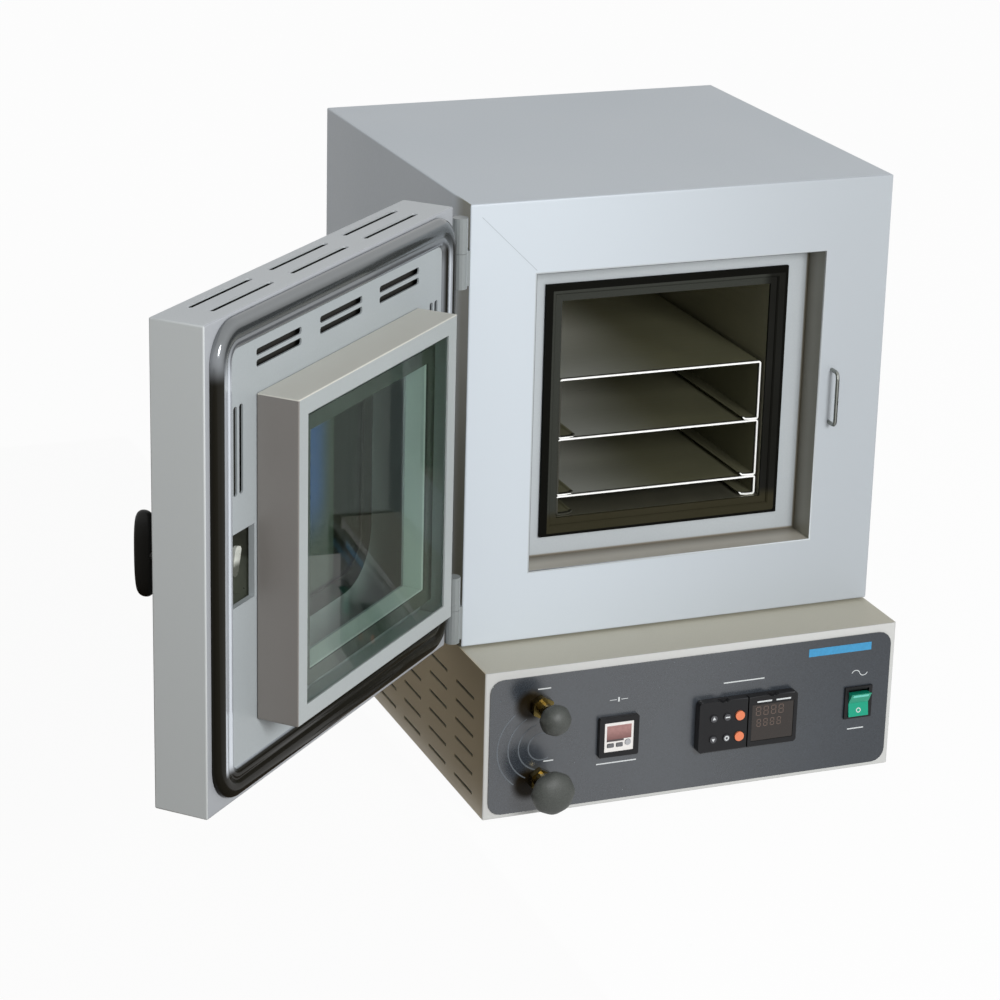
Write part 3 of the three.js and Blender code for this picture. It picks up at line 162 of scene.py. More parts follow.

# %% [markdown]
# Powder coat is not smooth: it dries in tiny waves, like the skin of an orange, and hands leave faint
# patches on it. Both come from noise at two sizes. The group also paints a highlight on each folded edge,
# wherever a piece carries the attribute that marks its folds: a positive value brightens the colour, and a
# negative one paints a shadow line. It puts out the colour, the roughness and the height, and each painted
# material uses it with its own values.

# %% Group: a coat with fine waves, faint patches and painted highlights on folds
def make_coat_group():
    group, given, result = new_group(
        "coat",
        {"Color": (0.5, 0.5, 0.5, 1), "Roughness": 0.45, "Patches": 0.05, "Speckle": 0.05,
         "Waves per metre": 900.0, "Fold light": 0.6},
        {"Color": "NodeSocketColor", "Roughness": "NodeSocketFloat", "Height": "NodeSocketFloat"},
    )
    place = put(group, "ShaderNodeTexCoord").outputs["Object"]
    waves = put(group, "ShaderNodeTexNoise",
                {"Vector": place, "Scale": given["Waves per metre"], "Detail": 2, "Roughness": 0.5})
    patches = put(group, "ShaderNodeTexNoise", {"Vector": place, "Scale": 9, "Detail": 4, "Roughness": 0.6})
    patch = sums(group, "MULTIPLY", sums(group, "SUBTRACT", patches.outputs["Fac"], 0.5), given["Patches"])
    speck = sums(group, "MULTIPLY", sums(group, "SUBTRACT", waves.outputs["Fac"], 0.5), given["Speckle"])
    fold_shading = put(group, "ShaderNodeAttribute", attribute_name="fold_shading").outputs["Fac"]
    # The fold value paints light: a highlight where it is positive, a shadow line where it is negative.
    folded = sums(group, "MULTIPLY", fold_shading, given["Fold light"])
    bright = sums(group, "ADD", sums(group, "ADD", sums(group, "ADD", patch, speck), folded), 1.0)
    tinted = put(group, "ShaderNodeVectorMath", {0: given["Color"], "Scale": bright}, operation="SCALE")
    group.links.new(tinted.outputs[0], result["Color"])
    group.links.new(sums(group, "MULTIPLY_ADD", patch, 2.0, given["Roughness"]), result["Roughness"])
    group.links.new(waves.outputs["Fac"], result["Height"])
    return group


coat_group = make_coat_group()
print("group:", coat_group.name)

# %% [markdown]
# Rolled steel sheet shows its rolling direction as fine streaks. Noise stretched along one axis gives
# them: the streaks brighten and roughen the metal a little, and raise it by a few thousandths.

# %% Group: the grain of rolled sheet
def make_grain_group():
    group, given, result = new_group(
        "grain",
        {"Color": (0.5, 0.5, 0.5, 1), "Roughness": 0.3, "Strength": 0.2, "Across": 900.0, "Along": 12.0},
        {"Color": "NodeSocketColor", "Roughness": "NodeSocketFloat", "Height": "NodeSocketFloat"},
    )
    place = put(group, "ShaderNodeTexCoord").outputs["Object"]
    scale = put(group, "ShaderNodeCombineXYZ",
                {"X": given["Across"], "Y": given["Along"], "Z": given["Across"]})
    stretched = put(group, "ShaderNodeVectorMath", {0: place, 1: scale.outputs[0]}, operation="MULTIPLY")
    streaks = put(group, "ShaderNodeTexNoise", {"Vector": stretched.outputs[0], "Scale": 1, "Detail": 3})
    clouds = put(group, "ShaderNodeTexNoise", {"Vector": place, "Scale": 14, "Detail": 3})
    both = sums(group, "ADD", streaks.outputs["Fac"], clouds.outputs["Fac"])
    share = sums(group, "MULTIPLY", sums(group, "SUBTRACT", both, 1.0), given["Strength"])
    bright = sums(group, "ADD", share, 1.0)
    tinted = put(group, "ShaderNodeVectorMath", {0: given["Color"], "Scale": bright}, operation="SCALE")
    group.links.new(tinted.outputs[0], result["Color"])
    group.links.new(sums(group, "ADD", share, given["Roughness"]), result["Roughness"])
    group.links.new(streaks.outputs["Fac"], result["Height"])
    return group


grain_group = make_grain_group()
print("group:", grain_group.name)

# %% [markdown]
# A material then holds one Principled shader, fed by one of the groups. Constants such as the metallic
# share sit on the shader's own sockets.

# %% Materials from the groups
def surface(name, group, values, bump_metres, **sockets):
    material = bpy.data.materials.new(name)
    material.use_nodes = True
    tree = material.node_tree
    shader = tree.nodes["Principled BSDF"]
    for label, value in sockets.items():
        shader.inputs[label.replace("_", " ")].default_value = value
    effect = put(tree, "ShaderNodeGroup", node_tree=group)
    for label, value in values.items():
        effect.inputs[label].default_value = value
    bump = put(tree, "ShaderNodeBump", {"Height": effect.outputs["Height"], "Distance": bump_metres,
                                        "Strength": 1})
    tree.links.new(effect.outputs["Color"], shader.inputs["Base Color"])
    tree.links.new(effect.outputs["Roughness"], shader.inputs["Roughness"])
    tree.links.new(bump.outputs["Normal"], shader.inputs["Normal"])
    return material


def coat(name, color, roughness=0.45, patches=0.08, speckle=0.12, waves=700.0, bump=0.00002, fold_shading=0.55,
         **sockets):
    values = {"Color": (*color, 1), "Roughness": roughness, "Patches": patches, "Speckle": speckle,
              "Waves per metre": waves, "Fold light": fold_shading}
    return surface(name, coat_group, values, bump, **sockets)


def metal(name, color, roughness=0.3, strength=0.2, across=900.0, along=12.0, bump=0.00001, shine=1.0,
          **sockets):
    values = {"Color": (*color, 1), "Roughness": roughness, "Strength": strength, "Across": across,
              "Along": along}
    return surface(name, grain_group, values, bump, Metallic=shine, **sockets)


print("kinds of material: coat, metal")

# %% [markdown]
# Stains, wear and the bright line on a cut edge are second colours, laid over the first by a mask. A mask
# is a number from 0 to 1 for each point, worked out from how far the point lies along a direction. Object
# coordinates belong to the piece, so a stain stays where it is when the door swings.

# %% Masks and second colours
def along(tree, direction, start=0.0):
    """How far a point lies along a direction, counted from start."""
    place = put(tree, "ShaderNodeTexCoord").outputs["Object"]
    reach = put(tree, "ShaderNodeVectorMath", {0: place, 1: direction}, operation="DOT_PRODUCT")
    return sums(tree, "SUBTRACT", reach.outputs["Value"], start)


def fade(tree, value, first, last):
    """0 up to first, 1 from last on, and a soft step in between. First may be the larger one."""
    limits = {"Value": value, "From Min": first, "From Max": last}
    return put(tree, "ShaderNodeMapRange", limits, interpolation_type="SMOOTHSTEP").outputs["Result"]


def blend_in(material, mask, color):
    """Lays a second colour over the first wherever the mask is 1."""
    tree = material.node_tree
    base = tree.nodes["Principled BSDF"].inputs["Base Color"]
    mixed = put(tree, "ShaderNodeMix", {"Factor": mask, 6: base.links[0].from_socket, 7: (*color, 1)},
                data_type="RGBA")
    tree.links.new(mixed.outputs[2], base)


print("mask helpers: along, fade, blend_in")

# %% [markdown]
# A window's pane is a coat without waves or patches that lets light through. Its index of refraction is
# lower than real glass has, so that it mirrors less of the white room and shows more of what lies behind.

# %% Glass
pane_index = 1.3


def pane(name, color, roughness=0.02):
    material = coat(name, color, roughness, patches=0.0, speckle=0.0, waves=30.0, bump=0.0, fold_shading=0.0)
    shader = material.node_tree.nodes["Principled BSDF"]
    shader.inputs["Transmission Weight"].default_value = 1
    shader.inputs["IOR"].default_value = pane_index
    return material


print("index of refraction:", pane_index)

# %% [markdown]
# Each slot of the record gets its finish here. The cabinet's paint is a cool light grey. The door's paint is
# a little darker, as painted shade, and its inside and window frame are greyer still. The base's paint is
# darker and warmer, and its darkness is painted shade under the cabinet's front.

# %% The finishes, one for each slot
materials = {
    "body_paint": coat("body_paint", (0.53, 0.575, 0.61), 0.42, fold_shading=0.2),
    "inner_paint": coat("inner_paint", (0.36, 0.39, 0.4), 0.42),
    "box_paint": coat("box_paint", (0.39, 0.42, 0.42), 0.42, fold_shading=0.25),
    "overlay_film": coat("overlay_film", (0.028, 0.034, 0.042), 0.24, 0.3, 1.4, 1400.0, 0.000004,
                         Specular_IOR_Level=1.0, Coat_Weight=0.45, Coat_Roughness=0.2),
    "stainless": metal("stainless", (0.4, 0.39, 0.29), 0.38, 0.3, shine=0.7),
    "polished_trim": metal("polished_trim", (0.5, 0.52, 0.55), 0.09, 0.06, 40.0, 40.0, 0.0),
    "black_rubber": coat("black_rubber", (0.02, 0.018, 0.013), 0.6, 0.3, 0.3, 700.0),
    "black_plastic": coat("black_plastic", (0.009, 0.009, 0.01), 0.34, 0.2, 0.2, 1500.0, fold_shading=2.0,
                          Specular_IOR_Level=0.25),
    "knob_plastic": coat("knob_plastic", (0.05, 0.054, 0.048), 0.48, 0.5, 1.4, 1100.0, 0.00012),
    "valve_brass": metal("valve_brass", (0.14, 0.105, 0.035), 0.2, 0.5, 300.0, 300.0),
    "zinc_steel": metal("zinc_steel", (0.27, 0.28, 0.26), 0.34, 0.3, 120.0, 120.0),
    "window_glass": pane("window_glass", (0.66, 0.76, 0.7)),
    "wool": coat("wool", (0.6, 0.52, 0.3), 0.95, 0.5, 0.6, 400.0, 0.0008),
    "heater_mat": coat("heater_mat", (0.3, 0.06, 0.03), 0.7, 0.3, 0.3, 500.0, 0.0001),
    "pipe_copper": metal("pipe_copper", (0.5, 0.22, 0.1), 0.3, 0.3, 200.0, 200.0),
    "face_white": coat("face_white", (0.78, 0.75, 0.72), 0.4, 0.1, 0.1, 1500.0),
    "grey_key": coat("grey_key", (0.12, 0.12, 0.125), 0.5, 0.2, 0.3, 1500.0),
    "orange_key": coat("orange_key", (0.72, 0.2, 0.09), 0.4, 0.15, 0.2, 1500.0),
    "dark_key": coat("dark_key", (0.05, 0.05, 0.055), 0.4, 0.2, 0.2, 1500.0),
    "smoked_window": coat("smoked_window", (0.02, 0.014, 0.011), 0.08, 0.1, 0.1, 50.0, 0.0),
    "green_lens": coat("green_lens", (0.008, 0.31, 0.19), 0.2, 0.1, 0.1, 300.0, 0.0,
                       Specular_IOR_Level=0.3),
}
# The door's darker tone and the base's darker tone are painted shade.
door_paint = coat("door_paint", (0.5, 0.525, 0.535), 0.42, fold_shading=0.22)
tray_paint = coat("tray_paint", (0.44, 0.47, 0.485), 0.42, fold_shading=0.45)
base_paint = coat("base_paint", (0.5, 0.475, 0.385), 0.42, fold_shading=0.4)
hinge_paint = coat("hinge_paint", (0.24, 0.26, 0.26), 0.28)
handle_black = coat("handle_black", (0.004, 0.004, 0.003), 0.42, 0.2, 0.3, 900.0, fold_shading=3.0,
                    Specular_IOR_Level=0.25)
pale_key = coat("pale_key", (0.4, 0.4, 0.41), 0.45, 0.2, 0.4, 1500.0)
print("materials:", len(materials))

# %% [markdown]
# A shelf's front edge carries a painted highlight: a white line in front of the dark chamber. The left
# wall's edge is hidden behind the gasket and gets none. The mask is arithmetic on the point's place: near
# the front, and near a shelf's top or on its right half. The first 4 mm from the front are nearly black,
# apart from that line. The shelves' tops carry a painted pool of light on the left, paler towards the back
# as a painted reflection, and elsewhere the steel is a dark olive in painted shade.

# %% Shelf steel with painted light and a painted highlight on its front edge
shelves = [name for name in nodes if name.startswith("shelf_")]
shelf_low, shelf_high = corners(shelves[0])
shelf_steel = metal("shelf_steel", (0.17, 0.165, 0.1), 0.4, 0.3, 40.0, 900.0, shine=0.3)
tree = shelf_steel.node_tree
toward_right, toward_back, upward = (Vector(axis) for axis in ((1, 0, 0), (0, 1, 0), (0, 0, 1)))
from_left = along(tree, toward_right, shelf_low.x)
from_front = along(tree, toward_back, shelf_low.y)
on_top = 0.0
for name in shelves:
    drop = sums(tree, "ABSOLUTE", along(tree, upward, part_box(name)[1][2]))
    on_top = sums(tree, "MAXIMUM", on_top, sums(tree, "LESS_THAN", drop, 1.6 * MM))
# Painted light: a pool of light on the tops at the left, paler towards the back as a painted reflection.
light_pool = sums(tree, "MULTIPLY", fade(tree, from_left, 120 * MM, 0), on_top)
pale_reflection = sums(tree, "MULTIPLY", light_pool, fade(tree, from_front, 50 * MM, 190 * MM))
blend_in(shelf_steel, light_pool, (0.44, 0.45, 0.41))
blend_in(shelf_steel, pale_reflection, (1, 1, 0.92))
# The first 4 mm from the front are nearly black.
blend_in(shelf_steel, sums(tree, "LESS_THAN", from_front, 4 * MM), (0.03, 0.03, 0.02))
# A painted highlight along the front edge.
on_right = sums(tree, "GREATER_THAN", from_left, (shelf_high.x - shelf_low.x) / 2)
edge_highlight = sums(tree, "MULTIPLY", sums(tree, "LESS_THAN", from_front, 1.2 * MM),
              sums(tree, "MAXIMUM", on_top, on_right))
blend_in(shelf_steel, edge_highlight, (1.0, 1.0, 0.97))
print("shelves with a bright edge:", len(shelves))

# %% [markdown]
# The chamber's steel is painted dark brown near its floor, as the shade that falls there. That mask is a
# height, which fades in below the lowest shelf. The retainer round the glass is pale enamel, with a painted
# highlight on its rim and a dark band on the flange that holds the pane. It swings with the door, so its
# masks ask where a point lies when the door is shut.

# %% Painted shade in the chamber, and the retainer's enamel
chamber_steel = metal("chamber_steel", (0.4, 0.39, 0.29), 0.38, 0.3, shine=0.7)
tree = chamber_steel.node_tree
lowest_shelf = min(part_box(name)[0][2] for name in shelves)
# Painted shade, nearly black, below the lowest shelf.
floor_shade = fade(tree, along(tree, upward, lowest_shelf), 10 * MM, -10 * MM)
blend_in(chamber_steel, floor_shade, (0.02, 0.017, 0.008))


def along_shut(tree, axis):
    """A point's coordinate along an axis of the door when it is shut."""
    direction = open_door.to_3x3() @ axis
    return along(tree, direction, direction.dot(open_door.translation))


rim_highlight_depth, dark_band_depth = 3.2 * MM, 1.6 * MM
retainer_enamel = coat("retainer_enamel", (0.62, 0.69, 0.66), 0.4)
tree = retainer_enamel.node_tree
retainer_front = box_of("glass_retainer", shut_door)[1].y
depth = sums(tree, "SUBTRACT", retainer_front, along_shut(tree, toward_back))
# A painted highlight on the rim, and a dark band on the flange in front of it.
blend_in(retainer_enamel, sums(tree, "LESS_THAN", depth, rim_highlight_depth), (0.95, 1.0, 0.98))
blend_in(retainer_enamel, sums(tree, "LESS_THAN", depth, dark_band_depth), (0.03, 0.04, 0.03))
print("retainer front in the shut door, mm:", round(retainer_front / MM, 1))

# %% [markdown]
# Light and shade are painted into these coats. The cabinet's front is painted lit, and darker towards the
# right as painted fall-off of the light; the cabinet's left side carries a painted shadow beside the hinges.
# The base's left wall is painted a dark tan as shade, and the base's front is painted lit. The door's flange
# is painted in shade and its free edge painted lit. Each mask asks how far a point lies along one axis: a
# face is the thin skin of points that lie next to its plane. Such a mask also holds when a part moves.

# %% Painted light and shade on the door, the cabinet and the base
skin = 0.9 * MM
shell_low, shell_high = box_of("door_outer_shell", shut_door)
tree = door_paint.node_tree
on_free_edge = sums(tree, "GREATER_THAN", along_shut(tree, toward_right), shell_high.x - skin)
on_flange = sums(tree, "GREATER_THAN", along_shut(tree, toward_back), shell_high.y - skin)
# Painted shade on the door's flange, painted light on its free edge.
blend_in(door_paint, on_flange, (0.37, 0.385, 0.405))
blend_in(door_paint, on_free_edge, (0.58, 0.605, 0.6))

body_low, body_high = corners("body_shell")
body_paint = materials["body_paint"]
tree = body_paint.node_tree
on_front = sums(tree, "LESS_THAN", along(tree, toward_back, body_low.y), skin)
to_right = fade(tree, along(tree, toward_right), body_low.x, body_high.x)
on_left_side = sums(tree, "LESS_THAN", along(tree, toward_right, body_low.x), skin)
by_the_hinges = fade(tree, along(tree, toward_back, body_low.y), 42 * MM, 14 * MM)
# A painted shadow beside the hinges, a painted lit front, and painted fall-off towards the right.
blend_in(body_paint, sums(tree, "MULTIPLY", on_left_side, by_the_hinges), (0.2, 0.2, 0.15))
blend_in(body_paint, on_front, (0.58, 0.63, 0.675))
blend_in(body_paint, sums(tree, "MULTIPLY", on_front, to_right), (0.41, 0.44, 0.465))

base_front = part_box("base_shell")[0][1]
tree = base_paint.node_tree
on_left_wall = sums(tree, "LESS_THAN", along(tree, toward_right, body_low.x), skin)
on_base_front = sums(tree, "LESS_THAN", along(tree, toward_back, base_front), skin)
# Painted shade on the base's left wall, painted light on its front.
blend_in(base_paint, on_left_wall, (0.5, 0.42, 0.28))
blend_in(base_paint, on_base_front, (0.56, 0.56, 0.54))
print("front paint fades over mm:", round((body_high.x - body_low.x) / MM, 1))

# %% [markdown]
# Round each valve's stem the control panel carries a painted shadow and dark reflection of its knob: a dark
# round spot that also takes the panel's gloss. The panel's right half is worn as well. A spot is a distance
# from its stem: the root of two squares.

# %% Painted knob shadows and wear on the control panel
stems = ((16.3, 110.3), (15.2, 37.5))
shadow_dulls, worn_out = 0.9, 0.5
overlay = materials["overlay_film"]
tree = overlay.node_tree
knob_shadow = 0.0
for x, z in stems:
    square = sums(tree, "POWER", along(tree, toward_right, x * MM), 2)
    square = sums(tree, "ADD", square, sums(tree, "POWER", along(tree, upward, z * MM), 2))
    knob_shadow = sums(tree, "MAXIMUM", fade(tree, sums(tree, "SQRT", square), 18 * MM, 9 * MM), knob_shadow)
# The painted shadow and reflection of each knob, dark brown.
blend_in(overlay, knob_shadow, (0.012, 0.008, 0.003))
worn = sums(tree, "MULTIPLY", fade(tree, along(tree, toward_right), 120 * MM, body_high.x), worn_out)
gloss = sums(tree, "SUBTRACT", 1, sums(tree, "MAXIMUM", sums(tree, "MULTIPLY", knob_shadow, shadow_dulls), worn))
shader = tree.nodes["Principled BSDF"]
tree.links.new(gloss, shader.inputs["Specular IOR Level"])
tree.links.new(sums(tree, "MULTIPLY", gloss, shader.inputs["Coat Weight"].default_value),
               shader.inputs["Coat Weight"])
print("grease spots:", len(stems))

# %% [markdown]
# The window frame stands out of the door. Its free side is painted in shade and its top painted lit. The
# latch is cast zinc: its case is painted in shade down to the tongue and painted lit below it, and the
# tongue is bright zinc, darker under its middle.

# %% The window frame's paint and the latch's zinc
window_low, window_high = box_of("window_box", shut_door)
box_paint = materials["box_paint"]
tree = box_paint.node_tree
on_free_side = sums(tree, "GREATER_THAN", along_shut(tree, toward_right), window_high.x - skin)
on_its_top = sums(tree, "GREATER_THAN", along(tree, upward), window_high.z - skin)
# Painted shade on the free side, painted light on the top.
blend_in(box_paint, on_free_side, (0.215, 0.2, 0.185))
blend_in(box_paint, on_its_top, (0.56, 0.55, 0.49))

latch_low, latch_high = box_of("latch_case", shut_door)
latch_zinc = metal("latch_zinc", (0.12, 0.125, 0.1), 0.4, 0.4, 150.0, 150.0, shine=0.6)
tree = latch_zinc.node_tree
# The case's dark tone above the tongue is painted shade, and its paler tone below is painted light.
below_tongue = fade(tree, along(tree, upward, (latch_low.z + latch_high.z) / 2), 2 * MM, -2 * MM)
blend_in(latch_zinc, below_tongue, (0.2, 0.215, 0.175))
tongue_low, tongue_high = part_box("latch_tongue")
tongue_middle = (tongue_low[2] + tongue_high[2]) / 2
tongue_zinc = metal("tongue_zinc", (0.85, 0.88, 0.8), 0.3, 0.3, 200.0, 200.0, shine=0.5)
tree = tongue_zinc.node_tree
blend_in(tongue_zinc, fade(tree, along(tree, upward, tongue_middle), 2 * MM, -5 * MM), (0.16, 0.17, 0.14))
print("latch tongue's middle in mm:", round(tongue_middle / MM, 1))

# %% [markdown]
# In the recess, shade is painted on the right wall and on the lower wall, darkest at the back. The first
# millimetre behind the edge is left out. The gasket in there is black rubber: greyer at the left and at the
# top, deeper black at the right, and olive at its foot.

# %% Painted shade in the recess, and the gasket's rubber
recess_low, recess_high = corners("chamber_surround")
deepest_shade = 0.75
tree = tray_paint.node_tree
recess_depth = along(tree, toward_back, recess_low.y)
behind_edge = fade(tree, recess_depth, 0.7 * MM, 1.3 * MM)
on_right_wall = fade(tree, along(tree, toward_right, recess_high.x), -4 * MM, -2 * MM)
on_right_wall = sums(tree, "MULTIPLY", on_right_wall, behind_edge)
on_foot_wall = fade(tree, along(tree, upward, recess_low.z), 4 * MM, 2 * MM)
on_foot_wall = sums(tree, "MULTIPLY", on_foot_wall, behind_edge)
# Painted shade on the lower and the right wall, darkest at the back.
blend_in(tray_paint, on_foot_wall, (0.43, 0.4, 0.34))
blend_in(tray_paint, on_right_wall, (0.29, 0.28, 0.23))
at_the_back = sums(tree, "MULTIPLY", fade(tree, recess_depth, 12 * MM, 32 * MM), deepest_shade)
recess_shade = sums(tree, "MULTIPLY", at_the_back, sums(tree, "MAXIMUM", on_foot_wall, on_right_wall))
blend_in(tray_paint, recess_shade, (0.07, 0.055, 0.03))

gasket_low, gasket_high = corners("chamber_gasket")
gasket_rubber = coat("gasket_rubber", (0.03, 0.032, 0.026), 0.7, 0.3, 0.3, 700.0, Specular_IOR_Level=0.15)
tree = gasket_rubber.node_tree
to_dark_side = fade(tree, along(tree, toward_right, gasket_high.x), -24 * MM, -14 * MM)
at_its_foot = fade(tree, along(tree, upward, gasket_low.z), 24 * MM, 14 * MM)
blend_in(gasket_rubber, to_dark_side, (0.003, 0.003, 0.0015))
blend_in(gasket_rubber, at_its_foot, (0.024, 0.021, 0.009))
print("recess depth in mm:", round((recess_high.y - recess_low.y) / MM, 1))

# %% [markdown]
# The outer pane carries a thin olive coating, and the soft blue patch high up towards the door's free side
# is a painted reflection. Two fades across and one upwards, multiplied, make the patch.

# %% The coated pane
tinted_glass = pane("tinted_glass", (0.05, 0.07, 0.05))
tree = tinted_glass.node_tree
pane_x = along_shut(tree, toward_right)
from_hinges, from_free_side = fade(tree, pane_x, 108 * MM, 138 * MM), fade(tree, pane_x, 250 * MM, 150 * MM)
blue_up = fade(tree, along(tree, upward), 285 * MM, 340 * MM)
blue_reflection = sums(tree, "MULTIPLY", sums(tree, "MULTIPLY", from_hinges, from_free_side), blue_up)
# The blue patch is a painted reflection.
blend_in(tinted_glass, blue_reflection, (0.05, 0.11, 0.25))
print("coated pane:", tinted_glass.name)

# %% [markdown]
# Most nodes take the finish of their slot, and the few that differ are listed by name. A measured node
# keeps its mesh: only its material changes.

# %% Finishes on the measured pieces
special = {"door_outer_shell": door_paint, "chamber_surround": tray_paint, "base_shell": base_paint,
           "outer_glass": tinted_glass, "latch_handle": handle_black, "chamber": chamber_steel,
           "glass_retainer": retainer_enamel, "gauge_button_right": pale_key,
           "latch_case": latch_zinc, "latch_tongue": tongue_zinc, "chamber_gasket": gasket_rubber}
special.update({name: hinge_paint for name in nodes if name.startswith(("upper_hinge", "lower_hinge"))})
special.update({name: shelf_steel for name in shelves})
finish_of = {name: special.get(name, materials[node_slot[name]]) for name in nodes}
for name, node in nodes.items():
    node.data.materials.clear()
    node.data.materials.append(finish_of[name])
print("finished nodes:", len(finish_of))

# %% [markdown]
# New pieces all end the same way: the bmesh becomes an object at the origin, takes its finish, and rides
# on a body of the model.

# %% From a bmesh to a piece that rides
def piece(name, bm, body, material):
    mesh = bpy.data.meshes.new(name)
    bm.to_mesh(mesh)
    bm.free()
    mesh.materials.append(material)
    made = bpy.data.objects.new(name, mesh)
    bpy.context.scene.collection.objects.link(made)
    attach(made, body)
    return made


print("bodies to ride on:", len(set(node_body.values())))

# %% [markdown]
# Sheet metal is folded on a press, so the cabinet's corners are small rounds. The measured model has sharp
# edges there. A copy of it is welded, its flat triangles are joined into whole faces, and the edges of its
# outer box get a bevel of four steps. The points inside the bevel carry an attribute that the paint reads,
# so that each fold shows a painted highlight as a bright line.

# %% Round the outer edges of a folded sheet
def new_bm():
    bm = bmesh.new()
    bm.verts.layers.float.new("fold_shading")
    return bm


def welded(name, turn=Matrix()):
    bm = new_bm()
    bm.from_mesh(nodes[name].data)
    bmesh.ops.remove_doubles(bm, verts=bm.verts, dist=0.01 * MM)
    bmesh.ops.transform(bm, matrix=turn, verts=bm.verts)
    bmesh.ops.dissolve_limit(bm, angle_limit=math.radians(0.5), verts=bm.verts, edges=bm.edges)
    return bm


def box_edges(bm, slack=0.05 * MM):
    low = [min(vert.co[axis] for vert in bm.verts) for axis in range(3)]
    high = [max(vert.co[axis] for vert in bm.verts) for axis in range(3)]

    def planes(vert):
        lows = {(axis, "low") for axis in range(3) if abs(vert.co[axis] - low[axis]) < slack}
        return lows | {(axis, "high") for axis in range(3) if abs(vert.co[axis] - high[axis]) < slack}

    return [edge for edge in bm.edges if len(planes(edge.verts[0]) & planes(edge.verts[1])) > 1]


def round_edges(bm, edges, radius, steps=4):
    fold_shading = bm.verts.layers.float["fold_shading"]
    result = bmesh.ops.bevel(bm, geom=edges, offset=radius, offset_type="OFFSET", segments=steps,
                             profile=0.5, affect="EDGES", material=-1)
    rounded = set(result["faces"])
    for face in rounded:
        face.smooth = True
    for vert in result["verts"]:
        # A point inside the bevel gets the value that paints the highlight.
        vert[fold_shading] = float(all(face in rounded for face in vert.link_faces))
    return len(rounded)


print("mesh helpers: welded, box_edges, round_edges")

# %% [markdown]
# The same steps serve six pieces. The two that belong to the door are welded with the door shut, so that
# their outer box has straight axes to follow, and are turned back when their edges are round.

# %% The folded pieces
def folded_copy(name, radius, turn=Matrix(), steps=4):
    bm = welded(name, turn)
    count = round_edges(bm, box_edges(bm), radius, steps)
    bmesh.ops.transform(bm, matrix=turn.inverted(), verts=bm.verts)
    made = piece(name + "_folded", bm, node_body[name], finish_of[name])
    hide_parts(name)
    print(made.name, "rounded faces:", count)


folded_copy("body_shell", 1.3 * MM)
folded_copy("base_shell", 1.2 * MM)
folded_copy("door_outer_shell", 1.3 * MM, shut_door)
folded_copy("window_box", 1.0 * MM, shut_door)
folded_copy("gauge_housing", 0.8 * MM)
folded_copy("controller_housing", 1.0 * MM)

# %% [markdown]
# The door's outer handle is a moulded lever, thick in the middle and round at its ends, on a short neck.
# A cube is cut into rings along its length, the rings are drawn in towards the ends, and a subdivision
# surface rounds it all. That surface shrinks the cube, so the cube starts a little too thick. The neck is a
# cone that runs into the lever.

# %% The lever outside the door
handle_low, handle_high = box_of("latch_handle", shut_door)
handle_middle = (handle_low + handle_high) / 2
lever_depth, past_the_box = 17.5 * MM, 1.6 * MM
swell, taper = 1.1, 0.3
lever_size = Vector((handle_high.x - handle_low.x, lever_depth, handle_high.z - handle_low.z))
lever_middle = Vector((handle_middle.x, handle_low.y - past_the_box + lever_depth / 2, handle_middle.z))
lever_bm = bmesh.new()
bmesh.ops.create_cube(lever_bm, size=1)
upright_edges = [edge for edge in lever_bm.edges if abs(edge.verts[0].co.z - edge.verts[1].co.z) > 0.5]
bmesh.ops.subdivide_edges(lever_bm, edges=upright_edges, cuts=5, use_grid_fill=True)
for vert in lever_bm.verts:
    draw_in = swell * (1 - taper * (2 * abs(vert.co.z)) ** 4)
    vert.co.x *= draw_in * lever_size.x
    vert.co.y *= draw_in * lever_size.y
    vert.co.z *= lever_size.z
bmesh.ops.translate(lever_bm, verts=lever_bm.verts, vec=lever_middle)
neck_length = handle_high.y - lever_middle.y
neck_place = Matrix.Translation((lever_middle.x, lever_middle.y + neck_length / 2, lever_middle.z))
bmesh.ops.create_cone(lever_bm, cap_ends=True, segments=24, radius1=7.5 * MM, radius2=5.5 * MM,
                      depth=neck_length, matrix=neck_place @ Matrix.Rotation(math.radians(90), 4, "X"))
for face in lever_bm.faces:
    face.smooth = True
bmesh.ops.transform(lever_bm, matrix=open_door, verts=lever_bm.verts)
lever = piece("handle_lever", lever_bm, node_body["latch_handle"], handle_black)
rounding = lever.modifiers.new("rounding", "SUBSURF")
rounding.levels = rounding.render_levels = 3
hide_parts("latch_handle")
print("lever length in mm:", round(lever_size.z / MM, 1))

# %% [markdown]
# The recess round the chamber's mouth is a tray welded into the cabinet's front. Its rim is ground flush
# and painted over, so no joint shows: the copy's outer walls move out to the front sheet, and only the
# edge into the recess is rounded. Its top and left edges carry a painted shadow line, and the others a
# painted highlight.

# %% The recess, flush with the front
recess_middle = (recess_low + recess_high) / 2
recess_size = recess_high - recess_low
bm = welded("chamber_surround")
seam, slack, rim_radius = 0.3 * MM, 0.05 * MM, 0.8 * MM
near_edge, shadow_fold = 6 * MM, -1.8
for vert in bm.verts:
    for axis in (0, 2):
        away = vert.co[axis] - recess_middle[axis]
        if abs(away) > recess_size[axis] / 2 - slack:
            vert.co[axis] += math.copysign(seam, away)
outer_edges = set(box_edges(bm))
rim = [edge for edge in bm.edges if edge not in outer_edges
       and all(abs(vert.co.y - recess_low.y) < slack for vert in edge.verts)
       and len(edge.link_faces) == 2 and edge.calc_face_angle() > math.radians(30)]
round_edges(bm, rim, rim_radius)
fold_shading = bm.verts.layers.float["fold_shading"]
